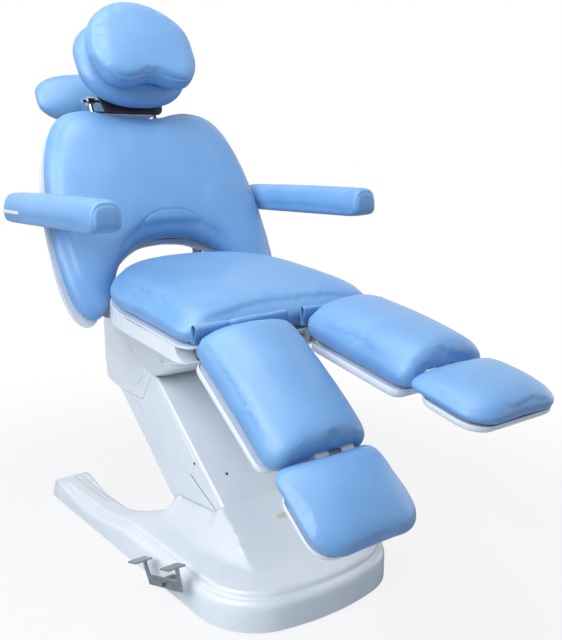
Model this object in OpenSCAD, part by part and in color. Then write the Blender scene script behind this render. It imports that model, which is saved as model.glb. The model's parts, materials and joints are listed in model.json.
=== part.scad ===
// Facial and podiatry treatment bed with a parallelogram lift and split leg rests.
// Millimetres, +Z up. The sitter faces -Y and has the +X side on the left hand.
// The origin is on the floor, straight below the lift arm's lower pivot.

/* [Base] */
// Half the width of the base
base_half_w = 257; // [240:1:280]
// How far the nose of the base reaches in front of the origin
base_front = 364; // [350:1:400]
// How far the two rear prongs reach behind the origin
base_rear = 621; // [580:1:660]
// Radius of the two front corners of the base in plan
base_corner_r = 158; // [140:1:170]
// Radius of the bowed nose in plan
base_nose_r = 600; // [550:1:700]
// Height of the rear prongs
prong_h = 62; // [56:1:66]
// Height of the front deck
deck_h = 90; // [86:1:96]
// Half the width of the bay between the prongs
bay_half_w = 158; // [150:1:170]
// Where the bay between the prongs closes, behind the origin
bay_front = 195; // [190:1:210]
// Corner radius at the closed end of the bay
bay_corner_r = 75; // [60:1:90]
// Wall of the moulded shells
shell_wall = 5; // [4:0.5:6]
// How far the upper deck steps in from the skirt, all round
rim_step = 14; // [10:1:18]
// Gap between the floor and the lower edge of the shell
shell_lift = 3; // [2:0.5:5]
// Thickness of the steel base plate
plate_t = 6; // [5:1:8]
// Height of the levelling feet
foot_h = 12; // [10:1:16]
// Radius of the levelling feet
foot_r = 22; // [18:1:26]

/* [Lift] */
// Height of the lower pivot of the lift arm
pivot_z = 97; // [95:1:102]
// Length of the lift arm between its pivots
arm_len = 553; // [540:1:565]
// Angle of the lift arm above level, as photographed
arm_tilt = 39; // [37:0.5:42]
// Distance from the lift arm's pivots to the tie link's pivots
tie_offset = 60; // [56:1:64]
// Half the width of the column cover
column_half_w = 102; // [98:1:104]
// Half the depth of the column cover
column_half_d = 99; // [96:1:100]
// Wall of the column cover
column_wall = 4; // [3:0.5:5]
// Radius of the main pivot pins
main_pin_r = 12; // [10:1:14]
// Radius of the smaller pivot pins
small_pin_r = 8; // [6:1:9]
// Thickness of the steel side plates of the mechanism
cheek_t = 8; // [6:1:9]

/* [Seat] */
// Half the width of the seat cushion
seat_half_w = 285; // [270:1:290]
// Length of the seat cushion
seat_len = 533; // [520:1:540]
// How far the front edge of the seat lies ahead of the tilt pivot
seat_ahead = 589.8; // [580:0.2:600]
// Height of the underside of the seat cushion's front edge above the tilt pivot
seat_over_tilt = 38; // [34:1:42]
// Rise of the seat towards the back
seat_slope = 5; // [4:0.5:6]
// Thickness of the seat cushion without its crown
seat_thick = 84; // [74:1:92]
// Crown of the seat cushion
seat_crown = 14; // [8:1:20]
// Depth of the white rim below the seat cushion
tray_depth = 38; // [34:1:42]

/* [Back] */
// Half the width of the back cushion
back_half_w = 333; // [320:1:340]
// Height of the two shoulders above the arch of the back
back_top_h = 385; // [370:1:395]
// Depth of the two side lobes below the arch of the back
back_lobe_h = 198; // [185:1:205]
// Thickness of the back cushion
back_thick = 74; // [66:1:80]
// Crown of the back cushion
back_crown = 12; // [6:1:18]
// Depth of the white rear shell of the back
back_shell_depth = 42; // [38:1:46]
// Recline of the back from upright, as photographed
back_lean = 27.2; // [24:0.2:30]
// How far the top of the arch lies ahead of the seat's rear edge
back_overlap = 33; // [28:1:38]
// Height of the top of the arch above the underside of the seat's front edge
back_over_seat = 169; // [162:1:176]

/* [Head] */
// Half the width of the head cushion
head_half_w = 168; // [160:1:180]
// Height of the head cushion
head_len = 262; // [250:1:280]
// Thickness of the head cushion
head_thick = 66; // [58:1:70]
// Half the width of the kidney pillow
pillow_half_w = 160; // [152:1:168]
// Height of the kidney pillow above its notch
pillow_h = 218; // [205:1:225]
// Drop of the pillow's two lower lobes below its notch
pillow_drop = 32; // [26:1:40]
// Thickness of the kidney pillow
pillow_thick = 58; // [52:1:60]
// Lean of the head cushion from upright
head_lean = 30; // [28:0.5:32]
// Half the distance between the head cushion's support bars
bar_half_gap = 97; // [92:1:104]
// Radius of the support bars
bar_r = 7; // [6:0.5:8]

/* [Rear pad] */
// Half the width of the rear pad
rear_pad_half_w = 200; // [185:1:205]
// Height of the rear pad
rear_pad_len = 150; // [140:1:160]
// Thickness of the rear pad
rear_pad_thick = 80; // [70:1:86]
// How far the front of the rear pad lies behind the front of the back cushion
rear_pad_set_back = 179; // [170:1:185]

/* [Arm rests] */
// Distance from the middle of the seat to the middle of an arm rest
armrest_x = 370; // [362:1:380]
// Half the width of an arm rest
armrest_half_w = 40; // [36:1:42]
// Thickness of an arm rest's padding
armrest_h = 62; // [58:1:68]
// Length of an arm rest in front of its pivot
armrest_front = 496; // [480:1:515]
// Length of an arm rest behind its pivot
armrest_rear = 78; // [70:1:90]
// Rise of an arm rest towards the front
armrest_rise = 3.5; // [2:0.5:5]

/* [Leg rests] */
// Distance from the middle of the seat to the middle of a leg rest
leg_x = 146; // [144:1:150]
// Height of the leg rests' hinge above the underside of the seat's front edge
leg_pivot_rise = 16; // [12:1:20]
// How far the leg rests' hinge lies in front of the seat cushion
leg_pivot_gap = 15; // [14:1:18]
// Half the width of a calf cushion
calf_half_w = 127; // [120:1:130]
// Distance from the leg hinge to the foot hinge
calf_len = 329; // [310:1:345]
// Half the width of a foot cushion
foot_half_w = 137; // [125:1:140]
// Length of a foot cushion
foot_len = 201; // [195:1:220]
// Thickness of the calf cushions without their crown
leg_pad_thick = 66; // [62:1:70]
// Crown of the calf cushions
leg_crown = 32; // [20:1:36]
// Thickness of the foot cushions without their crown
foot_pad_thick = 30; // [28:1:34]
// Crown of the foot cushions
foot_crown = 26; // [18:1:30]
// Depth of the white trays below the calf cushions
leg_tray_depth = 20; // [18:1:24]
// Depth of the white trays below the foot cushions
foot_tray_depth = 15; // [13:1:18]
// Pitch of the right leg rest below level, as photographed
right_leg_pitch = 35.3; // [30:0.1:40]
// Pitch of the left leg rest below level, as photographed
left_leg_pitch = 9.6; // [5:0.1:15]
// Fold of the right foot cushion, as photographed
right_fold = 1.7; // [1:0.1:5]
// Fold of the left foot cushion, as photographed
left_fold = 1.7; // [1:0.1:5]
// Radius of the white hinge knuckles
knuckle_r = 16; // [14:0.5:17]

/* [Pedal] */
// Height of the foot pedal's pivot
pedal_z = 52; // [50:1:56]
// How far the foot pedal's pivot lies in front of the origin
pedal_front = 92; // [80:1:110]
// Length of the foot pedal's channel
pedal_len = 172; // [160:1:180]
// Slope of the foot pedal at rest
pedal_slope = 18; // [15:1:20]
// Gap between the base and the foot pedal's channel
pedal_gap = 30; // [26:1:36]

/* [Clearances] */
// Radial clearance of a pin in its bush
bush_clear = 0.05; // [0.02:0.01:0.08]
// Gap between parts that only rest on each other
seat_clear = 0.3; // [0.2:0.1:0.5]
// Gap between parts that pass each other
side_clear = 2; // [1.5:0.5:3]

/* [Hidden] */
$fn = 64;

overrun = 20;
hull_fn = 32;
vinyl = "#7fb0e0";
white = "#f2f4f8";
steel = "#8d9298";
chrome = "#d5d8dc";
dark = "#33363a";
board = "#c8a878";

// Heights and lanes of the mechanism, from the middle outwards
lane_ram = 24;
lane_tie_in = 32;
lane_tie_out = 46;
lane_arm = 60;
lane_cheek = lane_arm + cheek_t + side_clear;
plate_z = foot_h;
arm_dir = [cos(arm_tilt), sin(arm_tilt)];
upper_y = arm_len * arm_dir[0];
upper_z = pivot_z + arm_len * arm_dir[1];
tie_y = -tie_offset * arm_dir[1];
tie_rise = tie_offset * arm_dir[0];
eye_r = main_pin_r + cheek_t;
small_eye_r = small_pin_r + cheek_t;

// Lift actuator: its lower eye on the base, its ram's eye on the lift arm
motor_crank = 75;
motor_crank_angle = -37;
motor_y = motor_crank * cos(motor_crank_angle);
motor_z = pivot_z + motor_crank * sin(motor_crank_angle);
ram_reach = 0.76 * arm_len;
ram_y = ram_reach * arm_dir[0];
ram_z = pivot_z + ram_reach * arm_dir[1];
lift_motor_len = hypot(ram_y - motor_y, ram_z - motor_z);
lift_motor_angle = atan2(ram_z - motor_z, ram_y - motor_y);
open_eye_clear = 5;
tube_r = 22;
rod_r = 10;

// Carrier and seat tilt
tilt_y = upper_y - 30;
tilt_z = upper_z + 141;
tilt_pin_r = small_pin_r;
carrier_top_z = tilt_z - 34;
carrier_top_t = 10;
cover_half_w = column_half_w + side_clear + column_wall;
seat_front = seat_ahead - tilt_y;
seat_z = tilt_z + seat_over_tilt;
cross_shares = [0.216, 0.469, 0.675];
rear_cross_y = cross_shares[2] * seat_len * cos(seat_slope) - seat_front;

// Back hinge, in the seat and on the back frame
back_y = seat_len - back_overlap - seat_front;
back_z = seat_z + back_over_seat;
hinge_y = back_y + 60;
hinge_z = back_z - 193;
hinge_arm_in = 168;
hinge_arm_t = 10;
hinge_plate_in = hinge_arm_in + hinge_arm_t + side_clear;
frame_rail_x = 150;
frame_rail_w = 24;
frame_rail_h = 22;
seat_board_t = 12;

// Back actuator, on the far side of the seat frame
crank_len = 85;
crank_angle = -60;
back_motor_x = 141;
motor_lug_in = 17;
motor_lug_t = 8;
back_motor_y = cross_shares[0] * seat_len + 15 - seat_front;
back_motor_z = seat_z - 52;
crank_y = hinge_y + crank_len * cos(crank_angle);
crank_z = hinge_z + crank_len * sin(crank_angle);
back_motor_len = hypot(crank_y - back_motor_y, crank_z - back_motor_z);
back_motor_angle = atan2(crank_z - back_motor_z, crank_y - back_motor_y);
slot_half = 13;
slot_shift = 4;

// Back and head, in the back's own leaning frame
board_t = 10;
shell_back = back_thick + back_shell_depth;
bar_y = back_thick + board_t + bar_r + 6;
bar_top = back_top_h + 62;
bar_bottom = 0.45 * back_top_h;
head_ahead = 86;
head_y = back_y + bar_top * sin(back_lean) - head_ahead * cos(back_lean);
head_z = back_z + bar_top * cos(back_lean) + head_ahead * sin(back_lean);
rear_pad_mid = back_top_h + 129;
rear_pad_back = rear_pad_set_back + rear_pad_thick;
rear_arm_half_gap = 60;
arm_pin_y = back_thick + 21;
arm_pin_s = 0.35 * back_top_h;

// Leg rests
leg_axis_y = -seat_front - leg_pivot_gap;
leg_pivot_z = seat_z + leg_pivot_rise;
leg_pin_r = 7;
leg_barrel_r = leg_pin_r + 5;
leg_top = 38;
leg_bottom = leg_top - leg_pad_thick;
foot_top = 22;
calf_start = 6;
tray_start = 22;
scoop_r = 64;
foot_axis_drop = 2;
pad_gap = 2.5;
lug_t = 10;
lug_inner_x = 44;
lug_outer_x = leg_x + calf_half_w - 44;
barrel_w = 22;
knuckle_w = 32;
knuckle_spread = 33;
knuckle_shift = 22;
foot_pin_r = 6;

function hypot(a, b) = sqrt(a * a + b * b);
function ease(i, n) = (1 - cos(180 * i / n)) / 2;
function swell(t, power) = sqrt(max(0, 1 - pow(abs(2 * t - 1), power)));
function dome(t) = 1 - pow(2 * t - 1, 2);
function slope_at(pts, k) =
  k <= 0 ? (pts[1][1] - pts[0][1]) / (pts[1][0] - pts[0][0])
  : k >= len(pts) - 1 ? (pts[k][1] - pts[k - 1][1]) / (pts[k][0] - pts[k - 1][0])
  : (pts[k + 1][1] - pts[k - 1][1]) / (pts[k + 1][0] - pts[k - 1][0]);
function segment_of(pts, x, k = 0) =
  k >= len(pts) - 2 || x <= pts[k + 1][0] ? k : segment_of(pts, x, k + 1);
// Height of a smooth line through points whose first column rises
function smooth_line(pts, x) =
  let (k = segment_of(pts, x),
       w = pts[k + 1][0] - pts[k][0],
       t = min(1, max(0, (x - pts[k][0]) / w)))
  pts[k][1] * (1 + 2 * t) * pow(1 - t, 2) + pts[k + 1][1] * t * t * (3 - 2 * t)
  + w * slope_at(pts, k) * t * pow(1 - t, 2) - w * slope_at(pts, k + 1) * t * t * (1 - t);

function two_triangles(a, b, c, d, from_a) =
  from_a ? [[a, b, c], [a, c, d]] : [[b, c, d], [b, d, a]];
// A crowned pad between the lines low(x) and high(x), with its seam at a given height
module pad(x0, x1, low, high, cols, rows, thick, seam, crown, top_power, under_power) {
  front = [for (i = [0 : cols], j = [0 : rows])
    let (u = ease(i, cols), v = ease(j, rows), x = x0 + (x1 - x0) * u)
    [x, low(x) + (high(x) - low(x)) * v,
     seam + (thick - seam) * swell(u, top_power) * swell(v, top_power)
     + crown * dome(u) * dome(v)]];
  under = [for (i = [1 : cols - 1], j = [1 : rows - 1])
    let (u = ease(i, cols), v = ease(j, rows), x = x0 + (x1 - x0) * u)
    [x, low(x) + (high(x) - low(x)) * v,
     seam * (1 - swell(u, under_power) * swell(v, under_power))]];
  function top_at(i, j) = i * (rows + 1) + j;
  function under_at(i, j) =
    i == 0 || j == 0 || i == cols || j == rows ? top_at(i, j)
    : len(front) + (i - 1) * (rows - 1) + j - 1;
  // Each diagonal runs out from the middle, so that no corner is closed by one triangle twice
  faces = [for (i = [0 : cols - 1], j = [0 : rows - 1])
    let (outward = (2 * i < cols) == (2 * j < rows)) each concat(
      two_triangles(top_at(i, j), top_at(i, j + 1), top_at(i + 1, j + 1), top_at(i + 1, j), outward),
      two_triangles(under_at(i, j), under_at(i + 1, j), under_at(i + 1, j + 1), under_at(i, j + 1),
                    outward))];
  polyhedron(points = concat(front, under), faces = faces, convexity = 4);
}

module rod_x(r, x0, x1) {
  translate([x0, 0, 0]) rotate([0, 90, 0]) cylinder(r = r, h = x1 - x0);
}
module rod_y(r, y0, y1) {
  translate([0, y1, 0]) rotate([90, 0, 0]) cylinder(r = r, h = y1 - y0);
}
// A side view drawn in Y and Z, made solid from x0 to x1
module side_slab(x0, x1) {
  translate([x0, 0, 0]) rotate([90, 0, 90]) linear_extrude(x1 - x0) children();
}
module both_sides() {
  children();
  mirror([1, 0, 0]) children();
}
module round_rect(w, l, r) {
  square([w - 2 * r, l], center = true);
  square([w, l - 2 * r], center = true);
  for (sx = [-1, 1], sy = [-1, 1])
    translate([sx * (w / 2 - r), sy * (l / 2 - r)]) circle(r = r);
}
module in_arm() {
  translate([0, 0, pivot_z]) rotate([arm_tilt, 0, 0]) children();
}
module in_seat() {
  translate([0, -seat_front, seat_z]) rotate([seat_slope, 0, 0]) children();
}
module in_back() {
  translate([0, back_y, back_z]) rotate([-back_lean, 0, 0]) children();
}
module in_head() {
  translate([0, head_y, head_z]) rotate([-head_lean, 0, 0]) children();
}
// Stands a flat drawing up so that its front faces the sitter
module stand_up() {
  rotate([90, 0, 0]) children();
}
module in_armrest(side) {
  in_back_point = [arm_pin_y, arm_pin_s];
  translate([side * armrest_x,
             back_y + in_back_point[1] * sin(back_lean) + in_back_point[0] * cos(back_lean),
             back_z + in_back_point[1] * cos(back_lean) - in_back_point[0] * sin(back_lean)])
    rotate([-armrest_rise, 0, 0]) children();
}
module in_leg(side) {
  translate([side * leg_x, leg_axis_y, leg_pivot_z])
    rotate([side > 0 ? left_leg_pitch : right_leg_pitch, 0, 0]) children();
}
module in_foot(side) {
  in_leg(side) translate([0, -calf_len, foot_axis_drop])
    rotate([side > 0 ? left_fold : right_fold, 0, 0]) children();
}

// Base
module base_plan(inset) {
  corner_x = base_half_w - base_corner_r;
  nose_y = base_nose_r - base_front;
  corner_y = nose_y - sqrt(pow(base_nose_r - base_corner_r, 2) - pow(corner_x, 2));
  nose_half = corner_x * (base_nose_r - inset) / (base_nose_r - base_corner_r);
  bay_w = bay_half_w + inset;
  bay_r = bay_corner_r + inset;
  difference() {
    union() {
      for (side = [-1, 1]) translate([side * corner_x, corner_y]) circle(r = base_corner_r - inset);
      intersection() {
        translate([0, nose_y]) circle(r = base_nose_r - inset);
        translate([-nose_half, -base_front]) square([2 * nose_half, base_front + corner_y]);
      }
      translate([inset - base_half_w, corner_y])
        square([2 * (base_half_w - inset), base_rear - inset - corner_y]);
    }
    translate([-bay_w, bay_front - inset + bay_r]) square([2 * bay_w, base_rear]);
    translate([bay_r - bay_w, bay_front - inset]) square([2 * (bay_w - bay_r), base_rear]);
    for (side = [-1, 1])
      translate([side * (bay_w - bay_r), bay_front - inset + bay_r]) circle(r = bay_r);
  }
}
prong_end_slope = 32;
prong_ramp_y = bay_front + 135;
deck_ramp_y = bay_front - 60;
module base_profile(drop) {
  polygon([[-base_front - overrun, -overrun], [base_rear, -overrun], [base_rear, shell_lift],
           [base_rear - prong_end_slope, prong_h - drop], [prong_ramp_y, prong_h - drop],
           [deck_ramp_y, deck_h - drop], [-base_front - overrun, deck_h - drop]]);
}
module base_layer(inset, drop, floor_z) {
  intersection() {
    translate([0, 0, floor_z]) linear_extrude(2 * deck_h) base_plan(inset);
    side_slab(-base_half_w - overrun, base_half_w + overrun) base_profile(drop);
  }
}
// Side view of the housing that rises from the deck round the foot of the column
housing_half_w = column_half_w + side_clear + 8;
housing_front = 235;
housing_rise_shares = [[-1, 0], [-0.81, 0.27], [-0.6, 0.6], [-0.4, 0.82], [-0.26, 1]];
housing_top = 178;
module housing_side() {
  front = [for (p = housing_rise_shares)
    [p[0] * housing_front, deck_h - shell_wall + p[1] * (housing_top - deck_h + shell_wall)]];
  polygon(concat(front, [[-25, 150], [110, 136], [165, 120], [188, deck_h],
                         [188, deck_h - shell_wall]]));
}
module housing_hollow() {
  front = [for (p = housing_rise_shares) if (p[1] < 0.9)
    [p[0] * housing_front + shell_wall + 1,
     deck_h - shell_wall + p[1] * (housing_top - deck_h + shell_wall) - shell_wall - 2]];
  polygon(concat([[front[0][0], deck_h - 3 * shell_wall]], front,
                 [[-0.42 * housing_front, housing_top - 14], [-0.42 * housing_front, housing_top + overrun],
                  [bay_front + overrun, housing_top + overrun],
                  [bay_front + overrun, deck_h - 3 * shell_wall]]));
}
column_sweep_r = column_half_d + side_clear;
module base_shell() color(white) {
  difference() {
    union() {
      difference() {
        union() {
          base_layer(0, rim_step, shell_lift);
          base_layer(rim_step, 0, shell_lift);
        }
        base_layer(shell_wall, rim_step + shell_wall, -overrun);
        base_layer(rim_step + shell_wall, shell_wall, -overrun);
      }
      side_slab(-housing_half_w, housing_half_w) housing_side();
    }
    side_slab(side_clear - housing_half_w + 6, housing_half_w - 6 - side_clear) housing_hollow();
    translate([0, 0, pivot_z])
      rod_x(column_sweep_r, side_clear - housing_half_w + 6, housing_half_w - 6 - side_clear);
    translate([0, -pedal_front, pedal_z]) rod_x(small_pin_r + side_clear, -base_half_w - overrun, 0);
    inlet_block(side_clear / 10);
  }
}
module base_plate() color(steel) {
  cheek = [[-78, 0], [-40, pivot_z - plate_z - 10], [tie_y - small_eye_r, pivot_z + tie_rise - plate_z],
           [tie_y, pivot_z + tie_rise + small_eye_r - plate_z],
           [tie_y + small_eye_r, pivot_z + tie_rise - plate_z],
           [motor_y + small_eye_r, motor_z - plate_z], [motor_y + small_eye_r, 0]];
  difference() {
    union() {
      intersection() {
        base_layer(shell_wall, rim_step + shell_wall, plate_z);
        translate([-base_half_w, -base_front, plate_z])
          cube([2 * base_half_w, base_front + base_rear, plate_t]);
      }
      both_sides() translate([0, 0, plate_z]) side_slab(lane_cheek, lane_cheek + cheek_t) polygon(cheek);
    }
    translate([0, 0, pivot_z]) rod_x(main_pin_r, -base_half_w, base_half_w);
    translate([0, tie_y, pivot_z + tie_rise]) rod_x(small_pin_r, -base_half_w, base_half_w);
    translate([0, motor_y, motor_z]) rod_x(small_pin_r, -base_half_w, base_half_w);
  }
}
module levelling_feet() color(dark) {
  for (p = [[0, 0], [-1, 1], [1, 1], [-1, -1], [1, -1]])
    translate([p[0] * (base_half_w + bay_half_w) / 2,
               p[1] > 0 ? base_rear - 80 : p[1] < 0 ? -base_front + base_corner_r : 0, 0])
      cylinder(r = foot_r, h = foot_h);
}
plate_pitch = atan2(housing_top - deck_h, 0.6 * housing_front);
module rating_plate() color("#d9dccf") {
  k = housing_rise_shares;
  wall_z = deck_h - shell_wall;
  rise = housing_top - wall_z;
  run_y = (k[3][0] - k[2][0]) * housing_front;
  run_z = (k[3][1] - k[2][1]) * rise;
  translate([42, (k[2][0] + k[3][0]) / 2 * housing_front, wall_z + (k[2][1] + k[3][1]) / 2 * rise])
    rotate([atan2(run_z, run_y), 0, 0]) linear_extrude(1) round_rect(62, 0.9 * hypot(run_y, run_z), 2);
}
module inlet_block(grow) {
  translate([-24 - grow, bay_front - 24, 30 - grow]) cube([48 + 2 * grow, 24.5, 28 + 2 * grow]);
}
module mains_inlet() color(dark) {
  difference() {
    inlet_block(0);
    translate([-13, bay_front - 16, 35]) cube([26, overrun, 18]);
  }
}
module control_box() color(dark) {
  translate([base_half_w - 140, -base_front + 170, plate_z + plate_t])
    cube([100, 90, 44]);
}
module lower_pivot_pins() color(steel) {
  reach = lane_cheek + cheek_t + 4;
  translate([0, 0, pivot_z]) rod_x(main_pin_r, -reach, reach);
  translate([0, tie_y, pivot_z + tie_rise]) rod_x(small_pin_r, -reach, reach);
  translate([0, motor_y, motor_z]) rod_x(small_pin_r, -reach, reach);
}

// Foot pedal on the near side of the base
pedal_in = base_half_w + pedal_gap;
channel_t = 4;
channel_h = 22;
tread_rise = 46;
module pedal_post() color(steel) {
  translate([0, -pedal_front, pedal_z]) rod_x(small_pin_r, -pedal_in - channel_t - 6, -base_half_w + 40);
  translate([-base_half_w + 28, -pedal_front - 20, plate_z + plate_t])
    cube([30, 40, pedal_z - plate_z - plate_t - small_pin_r]);
}
module in_pedal() {
  translate([0, -pedal_front, pedal_z]) rotate([-pedal_slope, 0, 0]) children();
}
module pedal_channel() color(steel) in_pedal() {
  difference() {
    side_slab(-pedal_in - channel_t, -pedal_in) polygon([
      [-pedal_len / 2, -channel_h / 2], [0.4 * pedal_len, -channel_h / 2],
      [pedal_len / 2, tread_rise], [pedal_len / 2 - 14, tread_rise],
      [0.36 * pedal_len, channel_h / 2 + 2], [14 - pedal_len / 2, channel_h / 2 + 2],
      [14 - pedal_len / 2, tread_rise], [-pedal_len / 2, tread_rise]]);
    rod_x(small_pin_r + bush_clear, -pedal_in - 2 * channel_t, overrun - pedal_in);
  }
  difference() {
    rod_x(small_pin_r + channel_t, -pedal_in, -pedal_in + pedal_gap - side_clear);
    rod_x(small_pin_r + bush_clear, -pedal_in - channel_t, -pedal_in + pedal_gap);
  }
}
module pedal_treads() color(steel) in_pedal() {
  for (y = [-pedal_len / 2 - 14, pedal_len / 2 - 26])
    translate([-pedal_in - channel_t - 30, y, tread_rise]) cube([44, 40, channel_t]);
}

// Lift arm
module arm_plates() color(steel) in_arm() {
  difference() {
    union() {
      both_sides() side_slab(lane_arm, lane_arm + cheek_t) {
        translate([0, -eye_r]) square([arm_len, 2 * eye_r]);
        circle(r = eye_r + 4);
        translate([arm_len, 0]) circle(r = eye_r + 4);
      }
      for (p = [[0.42, 14], [0.88, 12]]) translate([0, p[0] * arm_len, p[1]])
        rod_x(9, column_wall - column_half_w, column_half_w - column_wall);
      translate([0, ram_reach, 0]) rod_x(small_pin_r, -lane_arm, lane_arm);
    }
    rod_x(main_pin_r + bush_clear, -base_half_w, base_half_w);
    translate([0, arm_len, 0]) rod_x(main_pin_r + bush_clear, -base_half_w, base_half_w);
  }
}
cover_front_u = arm_len - 40;
cover_rear_u = arm_len + 17;
cover_rear_start = 60;
module cover_side(inset) {
  r = column_half_d - inset;
  arc = [for (a = [140 : -10 : 90]) [r * cos(a), r * sin(a)]];
  polygon(concat(arc, [[cover_front_u, r], [cover_rear_u, -r], [cover_rear_start, -r], [0, -30]]));
}
module column_cover() color(white) in_arm() {
  difference() {
    side_slab(-column_half_w, column_half_w) cover_side(0);
    side_slab(column_wall - column_half_w, column_half_w - column_wall) {
      cover_side(column_wall);
      polygon([[-column_half_d, -overrun], [-0.6 * column_half_d, 0.62 * column_half_d],
               [cover_rear_start, 0], [cover_rear_start + overrun, column_wall - column_half_d],
               [0, -column_half_d]]);
      translate([cover_front_u - 2, -column_half_d + column_wall])
        square([arm_len, 2 * (column_half_d - column_wall)]);
    }
  }
}
module cover_screws() color(dark) in_arm() {
  for (side = [-1, 1]) {
    translate([side * 47, 84, column_half_d]) cylinder(r = 3.5, h = 1.2);
    translate([side * column_half_w, 146, 74]) rod_x(3.5, side > 0 ? 0 : -1.2, side > 0 ? 1.2 : 0);
  }
}
module tie_link() color(steel) {
  translate([0, tie_y, pivot_z + tie_rise]) rotate([arm_tilt, 0, 0]) difference() {
    side_slab(-lane_tie_out, -lane_tie_in) {
      translate([0, -11]) square([arm_len, 22]);
      circle(r = small_eye_r);
      translate([arm_len, 0]) circle(r = small_eye_r);
    }
    for (u = [0, arm_len])
      translate([0, u, 0]) rod_x(small_pin_r + bush_clear, -lane_cheek, lane_cheek);
  }
}

// Lift actuator
motor_tube_share = 0.6;
module in_lift_motor() {
  translate([0, motor_y, motor_z]) rotate([lift_motor_angle, 0, 0]) children();
}
module lift_motor() color(dark) in_lift_motor() {
  end = motor_tube_share * lift_motor_len;
  difference() {
    union() {
      rod_x(small_eye_r, -lane_ram, lane_ram);
      translate([0, small_pin_r + 4, 0]) rod_y(tube_r, 0, end - small_pin_r - 4);
    }
    rod_x(small_pin_r + bush_clear, -lane_cheek, lane_cheek);
    translate([0, 2 * small_eye_r, 0]) rod_y(rod_r + bush_clear, 0, lift_motor_len);
  }
}
module lift_ram() color(chrome) in_lift_motor() {
  eye = small_pin_r + open_eye_clear;
  difference() {
    union() {
      translate([0, 0, 0]) rod_y(rod_r, 2 * small_eye_r + 80, lift_motor_len - eye);
      translate([0, lift_motor_len, 0]) rod_x(eye + 7, -lane_ram + 4, lane_ram - 4);
    }
    translate([0, lift_motor_len, 0]) rod_x(eye, -lane_cheek, lane_cheek);
  }
}

// Carrier between the lift arm and the seat
module carrier_head() color(steel) {
  difference() {
    union() {
      both_sides() side_slab(lane_cheek, lane_cheek + cheek_t) {
        polygon([[upper_y - 32, upper_z - eye_r], [upper_y + 32, upper_z - eye_r],
                 [upper_y + 42, carrier_top_z], [upper_y - 62, carrier_top_z],
                 [upper_y + tie_y - small_eye_r, upper_z + tie_rise + small_eye_r]]);
      }
      translate([column_wall - cover_half_w, upper_y - 72, carrier_top_z])
        cube([2 * (cover_half_w - column_wall), 124, carrier_top_t]);
      both_sides() side_slab(lane_arm, lane_arm + cheek_t)
        polygon([[tilt_y - 36, carrier_top_z + carrier_top_t - 1],
                 [tilt_y + 36, carrier_top_z + carrier_top_t - 1],
                 [tilt_y + small_eye_r, tilt_z + small_eye_r],
                 [tilt_y - small_eye_r, tilt_z + small_eye_r]]);
    }
    translate([0, upper_y, upper_z]) rod_x(main_pin_r, -base_half_w, base_half_w);
    translate([0, upper_y + tie_y, upper_z + tie_rise]) rod_x(small_pin_r, -base_half_w, base_half_w);
    translate([0, tilt_y, tilt_z]) rod_x(tilt_pin_r, -base_half_w, base_half_w);
  }
}
cover_low_z = upper_z - 98;
cover_rear_y = upper_y + 109;
cover_top_z = carrier_top_z + carrier_top_t;
module carrier_side(inset) {
  polygon([[upper_y - 122 + inset, cover_top_z + inset], [upper_y - 156 + inset, upper_z - 22],
           [upper_y - 104 + inset, cover_low_z + inset], [upper_y + 10, cover_low_z + inset],
           [cover_rear_y - 22, cover_low_z + 10 + inset], [cover_rear_y - 5 - inset, cover_low_z + 24],
           [cover_rear_y - inset, cover_low_z + 44],
           [cover_rear_y - inset, cover_top_z + inset]]);
}
module carrier_cover() color(white) {
  difference() {
    side_slab(-cover_half_w, cover_half_w) carrier_side(0);
    side_slab(column_wall - cover_half_w, cover_half_w - column_wall) {
      carrier_side(column_wall);
      translate([upper_y - 200, 0]) square([200 + 98, cover_top_z + overrun]);
    }
  }
}
module upper_pivot_pins() color(steel) {
  reach = lane_cheek + cheek_t + 4;
  translate([0, upper_y, upper_z]) rod_x(main_pin_r, -reach, reach);
  translate([0, upper_y + tie_y, upper_z + tie_rise]) rod_x(small_pin_r, -reach, reach);
}
module tilt_pin() color(steel) {
  reach = lane_arm + cheek_t + 3;
  translate([0, tilt_y, tilt_z]) rod_x(tilt_pin_r, -reach, reach);
}

// Seat
seat_corner_r = 45;
seat_straight = 275;
function seat_low(x, inset) =
  let (w = seat_half_w - inset, r = seat_corner_r, over = abs(x) - (w - r))
  inset + (over > 0 ? r - sqrt(max(0, r * r - over * over)) : 0);
function seat_high(x, inset) =
  seat_straight + (seat_len - seat_straight - inset)
  * pow(max(0, 1 - pow(abs(x) / (seat_half_w - inset), 2.2)), 0.455);
module seat_plan(inset) {
  w = seat_half_w - inset;
  steps = 28;
  polygon(concat(
    [for (i = [0 : steps]) let (x = -w + 2 * w * ease(i, steps)) [x, seat_low(x, inset)]],
    [for (i = [0 : steps]) let (x = w - 2 * w * ease(i, steps)) [x, seat_high(x, inset)]]));
}
pan_lip_y = upper_y - 200;
pan_lip_t = 4;
pan_lip_z = upper_z - 8;
pan_rim_inset = 6;
module pan_bowl(inset) {
  in_seat() translate([0, 0, -tray_depth + inset])
    linear_extrude(tray_depth) seat_plan(pan_rim_inset + inset);
  hull() {
    in_seat() translate([0, 0, -tray_depth + inset + 3])
      linear_extrude(1) seat_plan(pan_rim_inset + inset + 2);
    both_sides() translate([cover_half_w - 26, pan_lip_y + 30, pan_lip_z + inset])
      cylinder(r = 30 - inset, h = 1, $fn = hull_fn);
  }
}
module leg_scoop(r) {
  translate([0, leg_axis_y, leg_pivot_z]) rod_x(r, -seat_half_w - overrun, seat_half_w + overrun);
}
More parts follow.
